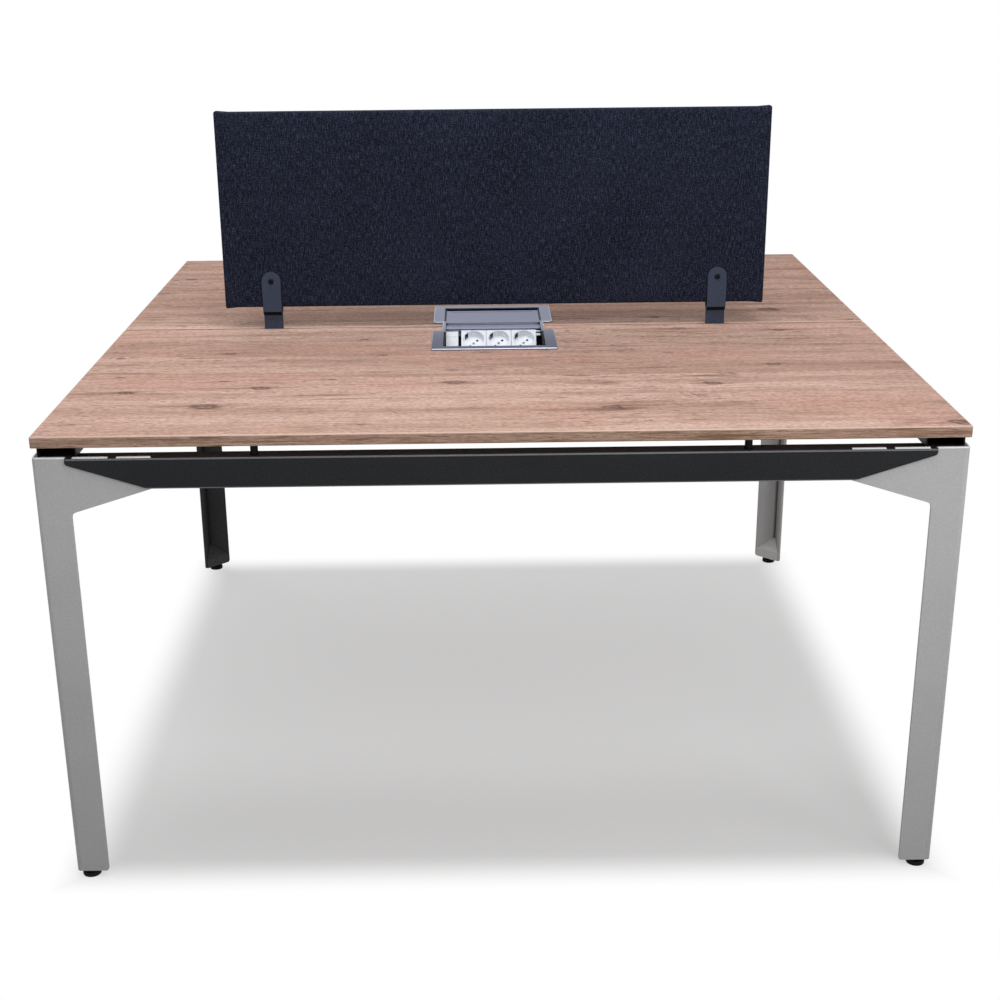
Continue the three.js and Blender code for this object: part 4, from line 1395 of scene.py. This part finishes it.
class DESK_OT_power_box(Operator):
    """Make the power box: bezel, lids, tracks, tray, carrier and inlet"""

    bl_idname = "desk.power_box"
    bl_label = "Power box"

    def execute(self, context):
        sizes = context.scene.desk_sizes
        self.bezel(sizes)
        softened("lid_front", "power_lid_front", sizes.thin_round)
        self.rear_lid(sizes)
        dress("lid_track_left", "lid_track_right", "power_tray", "module_carrier", "mains_inlet")
        return {"FINISHED"}

    def bezel(self, sizes):
        """The rim, rounder along its outline than round its opening, with a painted highlight on that
        outline.
        """
        shape = merged("power_bezel")
        low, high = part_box("power_bezel")
        middle = (low + high) / 2
        half = (high - low) / 2
        outline = []
        for edge in shape.edges:
            out = (edge.verts[0].co + edge.verts[1].co) / 2 - middle
            beyond = any(abs(out[axis]) > share * half[axis] for axis, share in enumerate(BEZEL_OUTLINE))
            if level(edge, high.z) and beyond and edge.calc_face_angle(0) > CREASE_ANGLE:
                outline.append(edge)
        second_finish(bevel(shape, outline, sizes.bezel_round, sizes.bend_steps))
        round_edges(shape, sizes.thin_round, sizes.edge_steps)
        stand_in("bezel", shape, "power_bezel", "satin_aluminium", "polished_edge")

    def rear_lid(self, sizes):
        """The upper lid, with a lip that closes the gap to the lower one, the lip paler with a painted
        highlight.
        """
        node = "power_lid_rear"
        shape = merged(node)
        round_edges(shape, sizes.thin_round, sizes.edge_steps)
        low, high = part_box(node)
        sheet = sizes.lip_sheet
        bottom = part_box("power_lid_front")[1].z + sizes.lid_play
        size = (high.x - low.x - 2 * sizes.lip_inset, sheet, low.z + sheet / 2 - bottom)
        centre = ((low.x + high.x) / 2, low.y + LIP_PLACE * sheet, bottom + size[2] / 2)
        lip = block(size, centre, sizes.thin_round / 2)
        second_finish(lip.faces)
        stand_in("lid_rear", gathered([shape, lip], Matrix()), node, "satin_aluminium", "polished_edge")


class DESK_OT_sockets(Operator):
    """Make the sockets and data modules with their fittings"""

    bl_idname = "desk.sockets"
    bl_label = "Sockets"

    def execute(self, context):
        sizes = context.scene.desk_sizes
        for end in ENDS:
            for number in (1, 2, 3):
                node = f"socket_{end}_{number}"
                softened(f"outlet_{end}_{number}", node, sizes.thin_round)
                self.fittings(f"{end}_{number}", node, self.face(node, end, sizes), sizes)
            node = f"data_module_{end}"
            softened(f"data_body_{end}", node, sizes.thin_round)
            self.marks(f"data_marks_{end}", node, self.face(node, end, sizes), sizes)
            self.rails(end, sizes)
        return {"FINISHED"}

    def face(self, node, end, sizes):
        """Matrix from a module's face, with its normal along Z, to the frame."""
        low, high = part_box(node)
        lean = sizes.face_tilt
        half = sizes.module_height / 2
        facing = 1 if end == "front" else -1
        bottom = low.y if end == "front" else high.y
        centre = Vector(
            ((low.x + high.x) / 2, bottom + facing * half * math.cos(lean), high.z - half * math.sin(lean))
        )
        turn = Matrix.Rotation(0 if end == "front" else math.pi, 4, "Z")
        return Matrix.Translation(centre) @ turn @ Matrix.Rotation(lean, 4, "X")

    def fittings(self, name, node, face, sizes):
        """Pin sleeves, centre screw and earth clips in a socket's well, with black plugs in the pin holes and
        clip slots: painted shade.
        """
        sleeve = [
            (SLEEVE_BORE, -FITTING_SUNK),
            (SLEEVE_BORE, SLEEVE_TOP),
            (SLEEVE_RADIUS - SLEEVE_CHAMFER, SLEEVE_TOP),
            (SLEEVE_RADIUS, SLEEVE_TOP - SLEEVE_CHAMFER),
            (SLEEVE_RADIUS, -FITTING_SUNK),
            (SLEEVE_BORE, -FITTING_SUNK),
        ]
        wall = Vector((sizes.well_radius, 0, 0))
        sleeves, holes, clips = [], [], []
        for half_turn in (0, math.pi):
            pin_turn = Matrix.Rotation(sizes.socket_turn + half_turn, 4, "Z")
            pin = pin_turn @ Matrix.Translation((sizes.pin_spread, 0, 0))
            clip_turn = Matrix.Rotation(sizes.socket_turn + math.pi / 2 + half_turn, 4, "Z")
            sleeves.append(moved(turned(sleeve, PIN_STEPS), pin))
            holes.append(moved(disc(PIN_HOLE, -FITTING_SUNK, PIN_HOLE_TOP), pin))
            holes.append(moved(block(SLOT_SIZE, wall + SLOT_PLACE, SLOT_ROUND), clip_turn))
            clips.append(moved(block(CLIP_SIZE, wall + CLIP_PLACE, CLIP_ROUND), clip_turn))
        floor = face @ Matrix.Translation((0, 0, -sizes.well_depth))
        body = body_of(node)
        piece(f"outlet_sleeves_{name}", gathered(sleeves, floor), ["white_plastic"], body)
        # black plugs in the holes and slots: painted shade
        piece(f"outlet_holes_{name}", gathered(holes, floor), ["black_plastic"], body)
        piece(f"outlet_clips_{name}", gathered(clips, floor), ["brass"], body)
        screw = moved(disc(SCREW_RADIUS, *SCREW_HEIGHTS), floor)
        piece(f"outlet_screw_{name}", screw, ["zinc_plate"], body)

    def marks(self, name, node, face, sizes):
        """Seam and latch dots on a data module's face."""
        low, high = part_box(node)
        wide = high.x - low.x
        tall = sizes.module_height
        seam = block((SEAM_WIDTH * wide, *SEAM_SHEET), (0, SEAM_PLACE * tall, 0), SEAM_ROUND)
        dots = []
        for side in (-1, 1):
            spot = Matrix.Translation((side * DOT_PLACE[0] * wide, DOT_PLACE[1] * tall, 0))
            dots.append(moved(disc(DOT_RADIUS, -DOT_HALF, DOT_HALF), spot))
        piece(name, gathered([seam, *dots], face), ["zinc_plate"], body_of(node))

    def rails(self, end, sizes):
        """Ends of the rail that the modules clip to, in the gaps beside them."""
        last = f"socket_{end}_3"
        first = f"data_module_{end}"
        low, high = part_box(last)
        edge = Vector((0, sizes.module_height / 2, 0))
        corner = edge + Vector(((high.x - low.x) / 2, 0, 0))
        stub = block(STUB_SIZE, corner + STUB_PLACE, RAIL_ROUND)
        clip = block(RAIL_CLIP_SIZE, corner + RAIL_CLIP_PLACE, RAIL_ROUND)
        cross = block(CROSS_SIZE, edge + CROSS_PLACE, RAIL_ROUND)
        bars = [moved(bar, self.face(last, end, sizes)) for bar in (stub, clip)]
        bars.append(moved(cross, self.face(first, end, sizes)))
        piece(f"module_rail_{end}", gathered(bars, Matrix()), ["white_plastic"], body_of(last))


class DESK_OT_stage(Operator):
    """Set the camera, the floor and the light"""

    bl_idname = "desk.stage"
    bl_label = "Stage"

    def execute(self, context):
        scene = context.scene
        scene.view_settings.view_transform = "Standard"
        self.camera(scene)
        self.floor(scene)
        self.world(scene)
        for name, (place, aim, size) in LAMPS.items():
            self.lamp(scene, name, Vector(place), Vector(aim), size)
        return {"FINISHED"}

    def camera(self, scene):
        """Camera that sees the desk as in the photograph."""
        stage = scene.desk_stage
        data = bpy.data.cameras.new("camera")
        data.sensor_fit = "HORIZONTAL"
        data.lens = data.sensor_width * stage.focal_pixels / stage.image_pixels
        middle = stage.image_pixels / 2
        data.shift_x = (middle - stage.centre_pixels[0]) / stage.image_pixels
        data.shift_y = (stage.centre_pixels[1] - middle) / stage.image_pixels
        turn = Matrix.Rotation(stage.yaw, 4, "Z") @ Matrix.Rotation(stage.pitch, 4, "X")
        turn = turn @ Matrix.Rotation(stage.roll, 4, "Y") @ Matrix.Rotation(math.pi / 2, 4, "X")
        camera = bpy.data.objects.new("camera", data)
        camera.matrix_world = Matrix.Translation(stage.eye) @ turn
        scene.collection.objects.link(camera)
        scene.camera = camera

    def seen(self, finish):
        """1 for rays that show the background itself, or its image in metal or glass."""
        path = finish.node("ShaderNodeLightPath", output="Is Camera Ray")
        shown = path.maths("MAXIMUM", path.out("Is Glossy Ray"))
        return shown.maths("MAXIMUM", path.out("Is Transmission Ray"))

    def floor(self, scene):
        """Wide flat floor."""
        shape = bmesh.new()
        bmesh.ops.create_grid(shape, x_segments=1, y_segments=1, size=FLOOR_REACH)
        mesh = bpy.data.meshes.new("floor")
        shape.to_mesh(mesh)
        shape.free()
        mesh.materials.append(self.floor_finish(scene))
        floor = bpy.data.objects.new("floor", mesh)
        scene.collection.objects.link(floor)

    def floor_finish(self, scene):
        """Pale floor with painted light: a glow seen by camera and reflected rays that shows it white outside
        a rectangle round the desk, over the real shadow there, and lifts the real shadow inside, more towards
        the rear.
        """
        stage = scene.desk_stage
        material, finish = new_material("studio_floor")
        x, y, _ = finish.axes(finish.place())
        soft = stage.shade_soft
        outside = [
            finish.spread(abs(way), half - soft, half + soft) for way, half in zip((x, y), stage.shade_half)
        ]
        open_floor = outside[0].maths("MAXIMUM", outside[1])
        under = finish.spread(y, *stage.shade_span, *stage.shade_glow)
        glow = (under + open_floor * (1 - under)) * self.seen(finish)
        matt = finish.node("ShaderNodeBsdfDiffuse", sockets={"Color": (*scene.desk_colours.floor, 1)})
        white = finish.node("ShaderNodeEmission", sockets={"Color": (1, 1, 1, 1), "Strength": 1.0})
        finish.close(finish.node("ShaderNodeMixShader", sockets={0: glow, 1: matt, 2: white}))
        return material

    def world(self, scene):
        """White all round, with a softer light on the desk."""
        world = bpy.data.worlds.new("studio")
        world.use_nodes = True
        finish = Finish(world.node_tree, "ShaderNodeOutputWorld")
        soft, white = (
            finish.node("ShaderNodeBackground", sockets={"Color": (1, 1, 1, 1), "Strength": strength})
            for strength in (scene.desk_stage.sky, 1.0)
        )
        finish.close(finish.node("ShaderNodeMixShader", sockets={0: self.seen(finish), 1: soft, 2: white}))
        scene.world = world

    def lamp(self, scene, name, place, aim, size):
        """A rectangular lamp that shines on its aim."""
        data = bpy.data.lights.new(name, "AREA")
        data.shape = "RECTANGLE"
        data.size, data.size_y = size
        data.energy = getattr(scene.desk_stage, name)
        lamp = bpy.data.objects.new(name, data)
        turn = (aim - place).to_track_quat("-Z", "Y").to_matrix().to_4x4()
        lamp.matrix_world = Matrix.Translation(place) @ turn
        scene.collection.objects.link(lamp)


OPERATORS = (
    DESK_OT_stage,
    DESK_OT_worktops,
    DESK_OT_legs,
    DESK_OT_feet,
    DESK_OT_beams,
    DESK_OT_under_frame,
    DESK_OT_screen,
    DESK_OT_straps,
    DESK_OT_power_box,
    DESK_OT_sockets,
)


class DESK_PT_panel(Panel):
    """Lists the desk's operators"""

    bl_idname = "DESK_PT_panel"
    bl_label = "Benching desk"
    bl_space_type = "VIEW_3D"
    bl_region_type = "UI"
    bl_category = "Desk"

    def draw(self, context):
        for operator in OPERATORS:
            self.layout.operator(operator.bl_idname)


SETTINGS = {"desk_colours": DeskColours, "desk_sizes": DeskSizes, "desk_stage": DeskStage}
CLASSES = (*SETTINGS.values(), *OPERATORS, DESK_PT_panel)


def register():
    for kind in CLASSES:
        bpy.utils.register_class(kind)
    for name, kind in SETTINGS.items():
        setattr(bpy.types.Scene, name, PointerProperty(type=kind))


def unregister():
    for name in SETTINGS:
        delattr(bpy.types.Scene, name)
    for kind in reversed(CLASSES):
        bpy.utils.unregister_class(kind)


def main():
    register()
    for operator in OPERATORS:
        group, name = operator.bl_idname.split(".")
        getattr(getattr(bpy.ops, group), name)()


if __name__ == "__main__":
    main()
